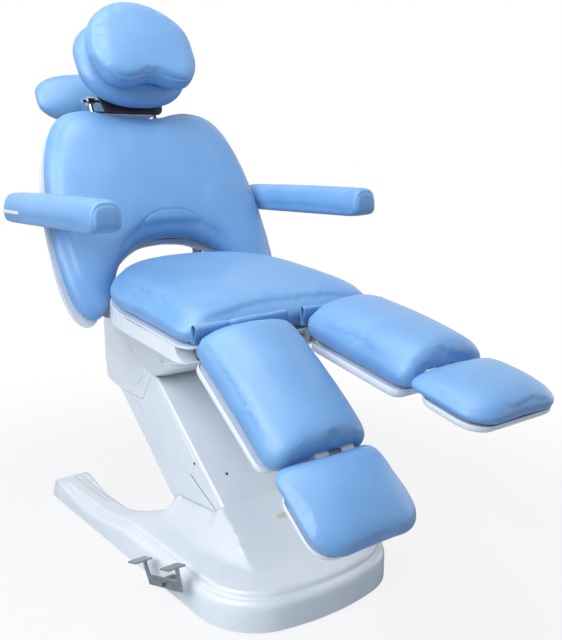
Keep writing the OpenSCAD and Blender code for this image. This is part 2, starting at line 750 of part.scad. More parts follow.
module seat_pan() color(white) {
  difference() {
    pan_bowl(0);
    leg_scoop(scoop_r);
    difference() {
      pan_bowl(shell_wall);
      leg_scoop(scoop_r + shell_wall);
    }
    in_seat() translate([-seat_half_w, 0, -seat_clear]) cube([2 * seat_half_w, seat_len, tray_depth]);
    translate([-column_half_w - 4, pan_lip_y + pan_lip_t, 0])
      cube([2 * (column_half_w + 4), seat_len, carrier_top_z]);
    translate([-cover_half_w - 12, upper_y - 160, 0]) cube([2 * (cover_half_w + 12), seat_len, tilt_z + 60]);
    in_back_motor() translate([0, 0.4 * back_motor_len, 0]) rod_y(tube_r, 0, back_motor_len);
    for (side = [-1, 1], x = [lug_inner_x, lug_outer_x])
      translate([side * x - lug_t / 2 - side_clear / 2, -seat_half_w, 0])
        cube([lug_t + side_clear, seat_half_w, seat_z]);
    both_sides() translate([hinge_plate_in - side_clear / 2, hinge_y - 130, hinge_z - 60])
      cube([hinge_arm_t + side_clear, 130, 130]);
  }
}
module seat_board() color(board) in_seat() {
  difference() {
    translate([0, 0, -seat_clear - seat_board_t]) linear_extrude(seat_board_t)
      seat_plan(pan_rim_inset + shell_wall + 3);
    translate([-seat_half_w, -overrun, -2 * seat_board_t])
      cube([2 * seat_half_w, 0.92 * rail_start + overrun, 2 * seat_board_t]);
  }
}
module seat_cushion() color(vinyl) in_seat() {
  pad(-seat_half_w, seat_half_w, function(x) seat_low(x, 0), function(x) seat_high(x, 0),
      18, 18, seat_thick, 0.3 * seat_thick, seat_crown, 6, 12);
}
frame_top = -seat_clear - seat_board_t - 0.2;
rail_start = 60;
module hinge_plate_outline() {
  polygon([[hinge_y - 190, hinge_z + 22], [hinge_y - small_eye_r, hinge_z - small_eye_r],
           [hinge_y + small_eye_r, hinge_z - small_eye_r], [hinge_y + small_eye_r, hinge_z + small_eye_r],
           [hinge_y - 50, hinge_z + 50], [hinge_y - 190, hinge_z + 40]]);
}
module seat_frame() color(steel) {
  difference() {
    union() {
      in_seat() both_sides() translate([frame_rail_x, rail_start, frame_top - frame_rail_h])
        cube([frame_rail_w, seat_len - 130 - rail_start, frame_rail_h]);
      in_seat() for (share = cross_shares)
        translate([-frame_rail_x, share * seat_len, frame_top - frame_rail_h])
          cube([2 * frame_rail_x, 30, frame_rail_h]);
      both_sides() side_slab(hinge_plate_in, hinge_plate_in + hinge_arm_t) hinge_plate_outline();
      both_sides() in_seat()
        translate([frame_rail_x + frame_rail_w - 1, seat_len - 160, frame_top - frame_rail_h])
          cube([hinge_plate_in - frame_rail_x - frame_rail_w + 2, 30, frame_rail_h]);
      both_sides() side_slab(lane_arm - cheek_t - side_clear, lane_arm - side_clear)
        polygon([[rear_cross_y - 4, tilt_z + 34], [tilt_y - small_eye_r, tilt_z - small_eye_r],
                 [tilt_y + small_eye_r, tilt_z - small_eye_r], [tilt_y + small_eye_r, tilt_z + small_eye_r],
                 [tilt_y - 70, tilt_z + 60], [rear_cross_y - 4, tilt_z + 50]]);
      for (side = [-1, 1], x = [lug_inner_x, lug_outer_x])
        side_slab(side * x - lug_t / 2, side * x + lug_t / 2)
          polygon([[75 - seat_front, seat_z - 12], [75 - seat_front, seat_z - 32],
                   [54 - seat_front, seat_z - 32], [leg_axis_y - 2, leg_pivot_z - 40],
                   [leg_axis_y - leg_barrel_r, leg_pivot_z - 4],
                   [leg_axis_y - 7, leg_pivot_z + leg_barrel_r - 2],
                   [leg_axis_y + 7, leg_pivot_z + leg_barrel_r - 2],
                   [leg_axis_y + leg_barrel_r, leg_pivot_z - 6],
                   [leg_axis_y + leg_barrel_r, seat_z - 15]]);
      in_seat() translate([-lug_outer_x, rail_start, frame_top - frame_rail_h])
        cube([2 * lug_outer_x, 20, frame_rail_h]);
      for (x = [-motor_lug_in - motor_lug_t, motor_lug_in])
        side_slab(back_motor_x + x, back_motor_x + x + motor_lug_t) motor_lug();
    }
    translate([0, leg_axis_y, leg_pivot_z]) rod_x(leg_pin_r, -seat_half_w, seat_half_w);
    translate([0, tilt_y, tilt_z]) rod_x(tilt_pin_r + bush_clear, -seat_half_w, seat_half_w);
    translate([0, hinge_y, hinge_z]) rod_x(small_pin_r, -seat_half_w, seat_half_w);
    translate([0, back_motor_y, back_motor_z]) rod_x(foot_pin_r, back_motor_x - 40, back_motor_x + 40);
  }
}
module motor_lug() {
  translate([back_motor_y, seat_z - 5])
    polygon([[-30, 0], [-12, back_motor_z - seat_z - 7], [12, back_motor_z - seat_z - 7], [30, 0]]);
}
module leg_hinge_pins() color(steel) {
  for (side = [-1, 1])
    translate([0, leg_axis_y, leg_pivot_z])
      rod_x(leg_pin_r, side > 0 ? lug_inner_x - lug_t : -lug_outer_x - lug_t,
            side > 0 ? lug_outer_x + lug_t : lug_t - lug_inner_x);
}
module back_hinge_pins() color(steel) {
  both_sides() translate([0, hinge_y, hinge_z])
    rod_x(small_pin_r, hinge_arm_in - 3, hinge_plate_in + hinge_arm_t + 2);
  translate([0, back_motor_y, back_motor_z]) rod_x(foot_pin_r, back_motor_x - 27, back_motor_x + 27);
}
// A folded loop of vinyl that stands in the gap between the seat and one leg rest
flap_wall = 2;
flap_top = 34;
flap_half = 5.5;
module flap(side) color(vinyl) {
  x0 = leg_x - calf_half_w + 2;
  x1 = leg_x + calf_half_w - 2;
  drop = side > 0 ? 0 : 8;
  translate([0, leg_axis_y + 3.5, leg_pivot_z + leg_barrel_r + 1.5])
    side_slab(side > 0 ? x0 : -x1, side > 0 ? x1 : -x0) difference() {
      union() {
        loop_outline(flap_half, flap_top - drop);
        translate([-1, 0]) square([flap_half + 4.3, flap_wall]);
      }
      translate([0, flap_wall]) loop_outline(flap_half - flap_wall, flap_top - drop - 2 * flap_wall);
    }
}
module loop_outline(half, top) {
  polygon([[-1, 0], [1, 0], [half, top - half], [-half, top - half]]);
  translate([0, top - half]) circle(r = half, $fn = hull_fn);
}

// Back
back_top_shares = [[0, 0.952], [0.28, 0.985], [0.486, 1], [0.6, 0.955], [0.693, 0.883],
                   [0.834, 0.79], [0.897, 0.61], [0.95, 0.41], [1, 0.005]];
back_low_shares = [[0, 0], [0.27, -0.02], [0.43, -0.146], [0.555, -0.348], [0.721, -0.581],
                   [0.8, -0.93], [0.88, -1], [0.95, -0.74], [1, -0.3]];
function back_top(t) = back_top_h * smooth_line(back_top_shares, min(1, t));
function back_under(t) = back_lobe_h * smooth_line(back_low_shares, min(1, t));
function back_draw(t, inset) = min(inset, 0.4 * (back_top(t) - back_under(t)));
function back_high(x, inset) =
  let (t = abs(x) / (back_half_w - inset)) back_top(t) - back_draw(t, inset);
function back_low(x, inset) =
  let (t = abs(x) / (back_half_w - inset)) back_under(t) + back_draw(t, inset);
module back_plan(inset) {
  w = back_half_w - inset;
  steps = 36;
  polygon(concat(
    [for (i = [0 : steps]) let (x = -w + 2 * w * ease(i, steps)) [x, back_low(x, inset)]],
    [for (i = [0 : steps]) let (x = w - 2 * w * ease(i, steps)) [x, back_high(x, inset)]]));
}
module back_cushion() color(vinyl) in_back() translate([0, back_thick, 0]) stand_up()
  pad(-back_half_w, back_half_w, function(x) back_low(x, 0), function(x) back_high(x, 0),
      28, 14, back_thick, 0.45 * back_thick, back_crown, 7, 12);
shell_rim_inset = 5;
shell_steps = [[0, 0.35], [12, 0.76], [30, 1]];
// The rear shell of the back steps in as it goes to the rear
module shell_layers(wall, front) {
  for (k = [0 : len(shell_steps) - 1]) {
    rear = shell_steps[k][1] * back_shell_depth - wall;
    start = k == 0 ? front : shell_steps[k - 1][1] * back_shell_depth - 2 * shell_wall;
    translate([0, back_thick + rear, 0]) stand_up()
      linear_extrude(rear - start) back_plan(shell_rim_inset + shell_steps[k][0] + wall);
  }
}
module back_shell() color(white) in_back() {
  difference() {
    shell_layers(0, seat_clear);
    shell_layers(shell_wall, -overrun);
    both_sides() translate([bar_half_gap, bar_y, bar_bottom])
      cylinder(r = bar_r + side_clear, h = back_top_h);
    both_sides() translate([hinge_arm_in - side_clear, back_thick, -0.9 * back_lobe_h])
      cube([hinge_arm_t + 2 * side_clear, back_shell_depth + overrun, 1.3 * back_lobe_h]);
    both_sides() translate([back_half_w - 70, arm_pin_y, arm_pin_s]) rod_x(small_eye_r, 0, 90);
    translate([back_motor_x - 24 - side_clear, back_thick, -0.9 * back_lobe_h])
      cube([48 + 2 * side_clear, back_shell_depth + overrun, back_lobe_h + 20]);
  }
}
back_frame_y = back_thick + seat_clear;
module back_frame() color(steel) in_back() {
  difference() {
    union() {
      both_sides() translate([hinge_arm_in, back_frame_y, 12])
        cube([hinge_arm_t, 24, 0.75 * back_top_h - 12]);
      both_sides() side_slab(hinge_arm_in, hinge_arm_in + hinge_arm_t)
        polygon([[back_frame_y, 60], [back_frame_y, 12], [hinge_local_y - small_eye_r, hinge_local_s],
                 [hinge_local_y, hinge_local_s - small_eye_r], [hinge_local_y + small_eye_r, hinge_local_s],
                 [hinge_local_y + small_eye_r, hinge_local_s + 40], [back_frame_y + 24, 70]]);
      for (rail = [[30, 8], [0.35 * back_top_h, 12], [0.68 * back_top_h, 12]])
        translate([-hinge_arm_in, back_frame_y, rail[0] - 12]) cube([2 * hinge_arm_in, rail[1], 24]);
      both_sides() translate([hinge_arm_in, back_frame_y, arm_pin_s - 14])
        cube([back_half_w - 40 - hinge_arm_in, 8, 28]);
      both_sides() translate([back_half_w - 52, back_frame_y, arm_pin_s - 14]) cube([12, 26, 28]);
      both_sides() translate([bar_half_gap, bar_y, 0.5 * back_top_h])
        cylinder(r = bar_r + 5, h = 0.35 * back_top_h);
      side_slab(back_motor_x - 24, back_motor_x - 13) crank_outline();
      side_slab(back_motor_x + 13, back_motor_x + 24) crank_outline();
    }
    both_sides() translate([bar_half_gap, bar_y, 0]) cylinder(r = bar_r + bush_clear, h = 2 * back_top_h);
    translate([0, hinge_local_y, hinge_local_s]) rod_x(small_pin_r + bush_clear, -seat_half_w, seat_half_w);
    both_sides() translate([0, arm_pin_y, arm_pin_s]) rod_x(small_pin_r, back_half_w - 60, back_half_w);
  }
  translate([0, crank_local[0], crank_local[1]]) rod_x(foot_pin_r, back_motor_x - 14, back_motor_x + 14);
}
// A place in the seat's frame, told in the back's leaning frame as depth and height
function to_back(y, z) = let (dy = y - back_y, dz = z - back_z)
  [dy * cos(back_lean) - dz * sin(back_lean), dy * sin(back_lean) + dz * cos(back_lean)];
hinge_local = to_back(hinge_y, hinge_z);
hinge_local_y = hinge_local[0];
hinge_local_s = hinge_local[1];
crank_local = to_back(crank_y, crank_z);
module crank_outline() {
  polygon([[back_frame_y, 30], [back_frame_y, 6],
           [crank_local[0] - 14, crank_local[1] + 2], [crank_local[0] - 4, crank_local[1] - 14],
           [crank_local[0] + 14, crank_local[1] - 4], [crank_local[0] + 10, crank_local[1] + 16],
           [hinge_local_y + 18, hinge_local_s + 20], [back_frame_y + 36, 30]]);
}
module armrest_pins() color(steel) in_back() {
  both_sides() translate([0, arm_pin_y, arm_pin_s])
    rod_x(small_pin_r, back_half_w - 52, armrest_x + 10);
}
// Two flat steel arms from the rear of the back up behind the rear pad
rear_arm_w = 34;
rear_arm_t = 8;
module rear_pad_bracket() color(chrome) in_back() {
  low = 0.58 * back_top_h;
  bend = back_top_h - 10;
  both_sides() side_slab(rear_arm_half_gap - rear_arm_w / 2, rear_arm_half_gap + rear_arm_w / 2)
    polygon([[shell_back, low], [shell_back + rear_arm_t, low], [shell_back + rear_arm_t, bend],
             [rear_pad_back + rear_arm_t, rear_pad_mid - 92], [rear_pad_back + rear_arm_t, rear_pad_mid + 40],
             [rear_pad_back, rear_pad_mid + 40], [rear_pad_back, rear_pad_mid - 86],
             [shell_back, bend + 6]]);
}
function oval_half(x, half, power) = pow(max(0, 1 - pow(min(1, abs(x) / half), power)), 1 / power);
oval_end_share = 0.985;
module rear_pad() color(vinyl) in_back()
  translate([0, rear_pad_back - seat_clear, rear_pad_mid]) stand_up() {
    w = rear_pad_half_w;
    pad(-oval_end_share * w, oval_end_share * w,
        function(x) -rear_pad_len / 2 * oval_half(x, w, 2.6),
        function(x) rear_pad_len / 2 * oval_half(x, w, 2.6),
        14, 8, rear_pad_thick, 0.5 * rear_pad_thick, 0, 3.4, 4);
  }

// Back actuator
module in_back_motor() {
  translate([back_motor_x, back_motor_y, back_motor_z]) rotate([back_motor_angle, 0, 0]) children();
}
module back_motor() color(dark) in_back_motor() {
  end = 0.6 * back_motor_len;
  difference() {
    union() {
      rod_x(foot_pin_r + 7, -11, 11);
      translate([0, foot_pin_r + 3, 0]) rod_y(16, 0, end - foot_pin_r - 3);
    }
    rod_x(foot_pin_r + bush_clear, -40, 40);
    translate([0, 30, 0]) rod_y(7 + bush_clear, 0, back_motor_len);
  }
}
module back_ram() color(chrome) in_back_motor() {
  difference() {
    union() {
      rod_y(7, 120, back_motor_len - 11);
      translate([0, back_motor_len, -slot_shift]) side_slab(-10, 10)
        square([2 * foot_pin_r + 16, 2 * (slot_half + foot_pin_r + 5)], center = true);
    }
    translate([0, back_motor_len, -slot_shift]) side_slab(-40, 40) {
      square([2 * (foot_pin_r + 2.6), 2 * slot_half], center = true);
      for (side = [-1, 1]) translate([0, side * slot_half]) circle(r = foot_pin_r + 2.6);
    }
  }
}

// Head
module head_bars() color(chrome) in_back() {
  both_sides() translate([bar_half_gap, bar_y, bar_bottom]) cylinder(r = bar_r, h = bar_top - bar_bottom);
  translate([0, bar_y, bar_top - 34]) rod_x(5, -bar_half_gap, bar_half_gap);
  both_sides() difference() {
    translate([0, bar_y, bar_top]) rod_x(12, bar_half_gap - 10, bar_half_gap + 10);
    translate([0, bar_y, bar_top]) rod_x(foot_pin_r, 0, 2 * bar_half_gap);
  }
  translate([0, bar_y, bar_top]) rod_x(foot_pin_r, -bar_half_gap - 24, bar_half_gap + 24);
}
function to_head(y, z) = let (dy = y - head_y, dz = z - head_z)
  [dy * cos(head_lean) - dz * sin(head_lean), dy * sin(head_lean) + dz * cos(head_lean)];
bar_world = [back_y + bar_top * sin(back_lean) + bar_y * cos(back_lean),
             back_z + bar_top * cos(back_lean) - bar_y * sin(back_lean)];
head_pivot = to_head(bar_world[0], bar_world[1]);
head_board_y = pillow_thick + head_thick + 2 * seat_clear;
head_low = -pillow_drop - 30;
module head_board() color(dark) in_head() {
  difference() {
    union() {
      translate([0, head_board_y + board_t, head_low + head_len / 2]) stand_up()
        linear_extrude(board_t) round_rect(1.7 * head_half_w, 0.8 * head_len, 60);
      both_sides() side_slab(bar_half_gap + 11, bar_half_gap + 19) polygon([
        [head_board_y + board_t - 1, head_pivot[1] + 40], [head_board_y + board_t - 1, head_pivot[1] - 12],
        [head_pivot[0] + 12, head_pivot[1] - 12], [head_pivot[0] + 12, head_pivot[1] + 12]]);
    }
    translate([0, head_pivot[0], head_pivot[1]]) rod_x(foot_pin_r + bush_clear, -head_half_w, head_half_w);
    both_sides() translate([bar_half_gap - 13, head_board_y - 1, head_pivot[1] - 60])
      cube([23.5, board_t + 2, 90]);
  }
}
head_crown = 2;
module head_cushion() color(vinyl) in_head()
  translate([0, head_board_y - seat_clear, head_low + head_len / 2]) stand_up() {
    w = head_half_w;
    pad(-oval_end_share * w, oval_end_share * w,
        function(x) -head_len / 2 * oval_half(x, w, 2.3), function(x) head_len / 2 * oval_half(x, w, 2.3),
        14, 12, head_thick - head_crown, 0.45 * head_thick, head_crown, 4, 4);
  }
pillow_low_shares = [[0, 0], [0.25, -0.35], [0.5, -1], [0.7, -0.75], [0.88, 0.25], [1, 1.5]];
module neck_pillow() color(vinyl) in_head() translate([0, pillow_thick, 0]) stand_up() {
  w = pillow_half_w;
  pad(-w, w,
      function(x) pillow_drop * smooth_line(pillow_low_shares, abs(x) / w),
      function(x) pillow_h * (0.42 + 0.58 * oval_half(x, w, 2.2)),
      18, 12, pillow_thick - 6, 0.5 * pillow_thick, 6, 14, 14);
}

// Arm rests
armrest_low = -30;
armrest_board_t = 8;
block_half_w = armrest_half_w - 12;
block_top = 14;
module armrest_core(side) color(dark) in_armrest(side) {
  difference() {
    union() {
      translate([0, (armrest_rear - armrest_front) / 2, armrest_low]) linear_extrude(armrest_board_t)
        round_rect(2 * armrest_half_w - 18, armrest_front + armrest_rear - 34, 20);
      translate([-block_half_w, -24, armrest_low + 1])
        cube([2 * block_half_w, 48, block_top - armrest_low]);
    }
    rod_x(small_pin_r + bush_clear, -armrest_half_w - overrun, armrest_half_w + overrun);
  }
}
module armrest_pad(side) color(vinyl) in_armrest(side) {
  r = 18;
  w = armrest_half_w;
  base_z = armrest_low + armrest_board_t + seat_clear;
  difference() {
    translate([0, 0, base_z])
      pad(-w, w, function(x) -armrest_front + corner_rise(x, w, r),
          function(x) armrest_rear - corner_rise(x, w, r),
          10, 16, armrest_h, 0.4 * armrest_h, 4, 7, 14);
    translate([-block_half_w - seat_clear, -24 - seat_clear, base_z - overrun])
      cube([2 * (block_half_w + seat_clear), 48 + 2 * seat_clear,
            block_top - base_z + overrun + 1 + seat_clear]);
    rod_x(small_pin_r + side_clear, -w - overrun, w + overrun);
  }
}
// How far a rounded corner has drawn in at x, on an outline of half width w
function corner_rise(x, w, r) = let (over = abs(x) - (w - r))
  over > 0 ? r - sqrt(max(0, r * r - over * over)) : 0;

// Leg rests
leg_arm_lanes = [
  lug_inner_x + lug_t / 2 + side_clear + barrel_w / 2 - leg_x,
  lug_outer_x - lug_t / 2 - side_clear - barrel_w / 2 - leg_x
];
// One arm from the hinge down to the rail below the cushion, a little larger by grow
module leg_arm(x, w, grow) {
  low = leg_bottom;
  side_slab(x - w / 2, x + w / 2) polygon([
    [-4, 9 + grow], [-9 - grow, 9 + grow], [-42 - grow, low + grow], [-42 - grow, low - 5],
    [-26, low - 6], [-6 + grow, -9]]);
}
module leg_frame(side) color(steel) in_leg(side) {
  rail_top = leg_bottom - seat_clear;
  difference() {
    union() {
      for (x = leg_arm_lanes) {
        rod_at(side * x, barrel_w, leg_barrel_r);
        leg_arm(side * x, barrel_w, 0);
        translate([side * x - barrel_w / 2, -calf_len + 44, rail_top - 6])
          cube([barrel_w, calf_len - 70, 6]);
        for (y = [-100, -calf_len + 80])
          translate([side * x - barrel_w / 2, y, rail_top - leg_tray_depth + shell_wall - 1])
            cube([barrel_w, barrel_w, leg_tray_depth - shell_wall - 1]);
      }
      translate([-0.72 * calf_half_w, -calf_len + 40, rail_top - 6]) cube([1.44 * calf_half_w, 30, 6]);
      for (k = [-1, 1]) translate([-side * knuckle_shift + k * knuckle_spread, -calf_len, foot_axis_drop])
        side_slab(-knuckle_w / 4, knuckle_w / 4)
          knuckle_arm(0);
    }
    rod_at(0, 4 * calf_half_w, leg_pin_r + bush_clear);
    translate([0, -calf_len, foot_axis_drop]) rod_at(0, 2 * calf_half_w, foot_pin_r);
  }
}
// Side view of one arm from the leg frame to a knuckle, from the foot hinge
module knuckle_arm(grow) {
  low = leg_bottom - seat_clear - foot_axis_drop;
  polygon([[-11 - grow, 3], [-4, 9 + grow], [8, 9 + grow], [44, low + grow], [50, low], [50, low - 6],
           [26, low - 6 - grow], [-11 - grow, -6]]);
}
module rod_at(x, w, r) {
  translate([x, 0, 0]) rod_x(r, -w / 2, w / 2);
}
module tray(w, l, depth, r, wall) {
  difference() {
    translate([0, 0, -depth]) linear_extrude(depth) round_rect(w, l, r);
    translate([0, 0, wall - depth]) linear_extrude(depth) round_rect(w - 2 * wall, l - 2 * wall, r - wall);
  }
}
module leg_shell(side) color(white) in_leg(side) {
  l = calf_len - tray_start - 18;
  difference() {
    translate([0, -tray_start - l / 2, leg_bottom - seat_clear])
      tray(2 * calf_half_w - 4, l, leg_tray_depth, 26, shell_wall - 1);
    lug_slots(side, scoop_r);
    for (x = leg_arm_lanes)
      translate([side * x - barrel_w / 2 - 1, -34, leg_bottom - 9]) cube([barrel_w + 2, 34, overrun]);
    for (k = [-1, 1])
      translate([-side * knuckle_shift + k * knuckle_spread - knuckle_w / 4 - 1, -calf_len, leg_bottom - 9])
        cube([knuckle_w / 2 + 2, 40, overrun]);
  }
}
// Room in a leg rest for the seat's hinge lugs as the leg rest swings
module lug_slots(side, r) {
  for (x = [lug_inner_x, lug_outer_x]) rod_at(side * (x - leg_x), lug_t + 2 * side_clear, r);
}
module knuckle_relief(side, at_y) {
  for (k = [-1, 1]) translate([-side * knuckle_shift + k * knuckle_spread, at_y, foot_axis_drop])
    rod_at(0, knuckle_w + 2 * side_clear, knuckle_r + side_clear, $fn = hull_fn);
  translate([-side * knuckle_shift, at_y, foot_axis_drop])
    rod_at(0, 2 * knuckle_spread, 12 + side_clear, $fn = hull_fn);
}
calf_corner_r = 30;
module calf_cushion(side) color(vinyl) in_leg(side) {
  w = calf_half_w;
  difference() {
    translate([0, 0, leg_bottom])
      pad(-w, w, function(x) -calf_len + pad_gap + corner_rise(x, w, calf_corner_r),
          function(x) -calf_start - corner_rise(x, w, calf_corner_r / 2),
          14, 14, leg_pad_thick, 0.35 * leg_pad_thick, leg_crown, 8, 12);
    knuckle_relief(side, -calf_len);
    for (k = [-1, 1]) translate([-side * knuckle_shift + k * knuckle_spread, -calf_len, foot_axis_drop])
      side_slab(-knuckle_w / 4 - seat_clear, knuckle_w / 4 + seat_clear) knuckle_arm(seat_clear);
    lug_slots(side, 0.69 * scoop_r);
    rod_at(0, 3 * calf_half_w, leg_barrel_r + seat_clear);
    for (x = leg_arm_lanes) leg_arm(side * x, barrel_w + 2 * seat_clear, seat_clear);
  }
}
module knuckles(side) color(white) in_leg(side) {
  for (k = [-1, 1]) translate([-side * knuckle_shift + k * knuckle_spread, -calf_len, foot_axis_drop])
    difference() {
      rod_at(0, knuckle_w, knuckle_r);
      rod_at(0, 2 * knuckle_w, foot_pin_r);
      side_slab(-knuckle_w / 4 - seat_clear, knuckle_w / 4 + seat_clear) knuckle_arm(seat_clear);
    }
  translate([-side * knuckle_shift, -calf_len, foot_axis_drop])
    rod_at(0, 2 * knuckle_spread + knuckle_w, foot_pin_r);
}
foot_rail_z = foot_top - foot_pad_thick - seat_clear - foot_axis_drop;
module foot_bracket(side) color(steel) in_foot(side) {
  w = 2 * knuckle_spread - knuckle_w - 2 * side_clear;
  rail_top = foot_rail_z;
  translate([-side * knuckle_shift, 0, 0]) difference() {
    union() {
      rod_at(0, w, 12);
      side_slab(-w / 2, w / 2)
        polygon([[4, 6], [-6, 8], [-13, rail_top], [-46, rail_top], [-46, rail_top - 6],
                 [-20, rail_top - 6], [-2, -11]]);
      translate([-w / 2, -foot_len + 60, rail_top - 6]) cube([w, foot_len - 100, 6]);
      translate([-60, -90, rail_top - 6]) cube([120, 26, 6]);
      for (x = [-60, 38]) translate([x, -90, rail_top - foot_tray_depth + shell_wall - 1])
        cube([barrel_w, barrel_w, foot_tray_depth - shell_wall - 1]);
    }
    rod_at(0, 2 * w, foot_pin_r + bush_clear);
  }
}
module foot_shell(side) color(white) in_foot(side) {
  l = foot_len - 34;
  difference() {
    translate([0, -26 - l / 2, foot_rail_z])
      tray(2 * foot_half_w - 12, l, foot_tray_depth, 50, shell_wall - 1);
    translate([-side * knuckle_shift - knuckle_spread / 2 - 1, -40, foot_rail_z - 7])
      cube([knuckle_spread + 2, 40, overrun]);
  }
}
foot_front_r = 66;
foot_rear_r = 34;
module foot_cushion(side) color(vinyl) in_foot(side) {
  w = foot_half_w;
  difference() {
    translate([0, 0, foot_top - foot_pad_thick - foot_axis_drop])
      pad(-w, w, function(x) -foot_len - pad_gap + corner_rise(x, w, foot_front_r),
          function(x) -pad_gap - corner_rise(x, w, foot_rear_r),
          14, 12, foot_pad_thick, 0.4 * foot_pad_thick, foot_crown, 5, 12);
    translate([0, 0, -foot_axis_drop]) knuckle_relief(side, 0);
  }
}

base_shell();
base_plate();
levelling_feet();
rating_plate();
mains_inlet();
control_box();
lower_pivot_pins();
pedal_post();
pedal_channel();
pedal_treads();
arm_plates();
column_cover();
cover_screws();
tie_link();
lift_motor();
lift_ram();
carrier_head();
carrier_cover();
upper_pivot_pins();
tilt_pin();
seat_frame();
seat_board();
seat_pan();
seat_cushion();
leg_hinge_pins();
back_hinge_pins();
flap(-1);  // right_flap
flap(1);  // left_flap
back_frame();
back_shell();
back_cushion();
rear_pad_bracket();
rear_pad();
armrest_pins();
back_motor();
back_ram();
head_bars();
head_board();
head_cushion();
neck_pillow();
armrest_core(-1);  // right_armrest_core
armrest_pad(-1);  // right_armrest_pad
armrest_core(1);  // left_armrest_core
armrest_pad(1);  // left_armrest_pad
leg_frame(-1);  // right_leg_frame
leg_shell(-1);  // right_leg_shell
calf_cushion(-1);  // right_calf_cushion
knuckles(-1);  // right_knuckles
leg_frame(1);  // left_leg_frame
leg_shell(1);  // left_leg_shell
calf_cushion(1);  // left_calf_cushion
knuckles(1);  // left_knuckles
foot_bracket(-1);  // right_foot_bracket
foot_shell(-1);  // right_foot_shell
foot_cushion(-1);  // right_foot_cushion
foot_bracket(1);  // left_foot_bracket
foot_shell(1);  // left_foot_shell
foot_cushion(1);  // left_foot_cushion
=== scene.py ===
# %% [markdown]
# # A treatment chair with a lifting column and split leg rests
# The chair stands on a moulded base with two rear prongs. A covered lift arm carries the seat,
# the seat carries the back, and each leg of the sitter has a rest of its own in two parts.
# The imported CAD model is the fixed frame. Each cell below makes one group of pieces round it.

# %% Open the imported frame
import json
import bpy
import bmesh
import numpy as np
from mathutils.geometry import delaunay_2d_cdt
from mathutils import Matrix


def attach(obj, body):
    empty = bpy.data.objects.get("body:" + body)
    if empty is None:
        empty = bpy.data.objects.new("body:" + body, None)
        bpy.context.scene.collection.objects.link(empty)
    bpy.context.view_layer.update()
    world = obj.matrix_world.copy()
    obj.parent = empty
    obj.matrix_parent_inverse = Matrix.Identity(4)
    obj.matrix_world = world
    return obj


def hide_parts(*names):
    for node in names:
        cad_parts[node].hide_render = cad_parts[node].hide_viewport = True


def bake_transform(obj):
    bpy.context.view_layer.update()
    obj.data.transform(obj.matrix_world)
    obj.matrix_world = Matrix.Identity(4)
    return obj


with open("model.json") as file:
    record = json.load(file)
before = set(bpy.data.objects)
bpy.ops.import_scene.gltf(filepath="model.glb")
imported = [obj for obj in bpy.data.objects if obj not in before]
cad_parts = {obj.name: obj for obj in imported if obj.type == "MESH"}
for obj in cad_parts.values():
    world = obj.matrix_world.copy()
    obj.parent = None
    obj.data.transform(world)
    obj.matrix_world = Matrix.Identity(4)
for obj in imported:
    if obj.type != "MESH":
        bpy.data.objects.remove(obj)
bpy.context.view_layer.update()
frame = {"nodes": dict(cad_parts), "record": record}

# %% [markdown]
# ## The camera
# The photograph looks down a little on the chair from the sitter's right front. Its place and
# its three axes were fitted to the chair's outline, so the camera is written as a matrix made of
# the directions right, up and backwards. The lens follows from the focal length in pixels.

# %% Set the camera
MM = 0.001
CAMERA_AT = np.array([-1158.5, -1633.3, 1068.5]) * MM
YAW, PITCH, ROLL = np.radians([38.03, 12.65, 0.61])
FOCAL_PIXELS, PHOTO_LONG_SIDE, SENSOR = 837.5, 640, 36.0

ahead = np.array([np.sin(YAW) * np.cos(PITCH), np.cos(YAW) * np.cos(PITCH), -np.sin(PITCH)])
level = np.array([np.cos(YAW), -np.sin(YAW), 0.0])
upward = np.cross(level, ahead)
right = np.cos(ROLL) * level + np.sin(ROLL) * upward
up = np.cos(ROLL) * upward - np.sin(ROLL) * level
camera = bpy.data.objects.new("camera", bpy.data.cameras.new("camera"))
bpy.context.scene.collection.objects.link(camera)
pose = np.eye(4)
pose[:3, 0], pose[:3, 1], pose[:3, 2], pose[:3, 3] = right, up, -ahead, CAMERA_AT
camera.matrix_world = pose.T.tolist()
camera.data.sensor_width = SENSOR
camera.data.lens = FOCAL_PIXELS * SENSOR / PHOTO_LONG_SIDE
camera.data.clip_start, camera.data.clip_end = 0.05, 50
bpy.context.scene.camera = camera
print("camera lens", round(camera.data.lens, 2), "mm")

# %% [markdown]
# ## Helpers for materials
# A colour is written as the sRGB hex value that the eye knows, and one function turns it into
# the linear values that the shader works with. One small function adds a node, sets its inputs
# and links it, so every finish below reads as a short list of what it is made of.

# %% Colour and node helpers
def linear(hex_colour):
    """sRGB hex to linear red, green, blue and alpha: v / 12.92 up to 0.04045, and above that
    (v + 0.055) / 1.055 to the power 2.4."""
    v = np.array([int(hex_colour[i:i + 2], 16) for i in (1, 3, 5)]) / 255
    return (*np.where(v <= 0.04045, v / 12.92, ((v + 0.055) / 1.055) ** 2.4), 1.0)


def add(tree, kind, settings=None, out=0, stops=(), **inputs):
    """Adds one node and returns its output out. settings are its own properties, stops are a
    ramp's (place, hex colour) pairs, and inputs are values, or sockets to link from."""
    node = tree.nodes.new(kind)
    for key, value in (settings or {}).items():
        setattr(node, key, value)
    while stops and len(node.color_ramp.elements) < len(stops):
        node.color_ramp.elements.new(0.5)
    for number, (place, colour) in enumerate(stops):
        element = node.color_ramp.elements[number]
        element.position, element.color = place, linear(colour)
    for key, value in inputs.items():
        socket = node.inputs[int(key[1:]) if key[1:].isdigit() else key.replace("_", " ")]
        if isinstance(value, bpy.types.NodeSocket):
            tree.links.new(value, socket)
        else:
            socket.default_value = value
    return node.outputs[out]


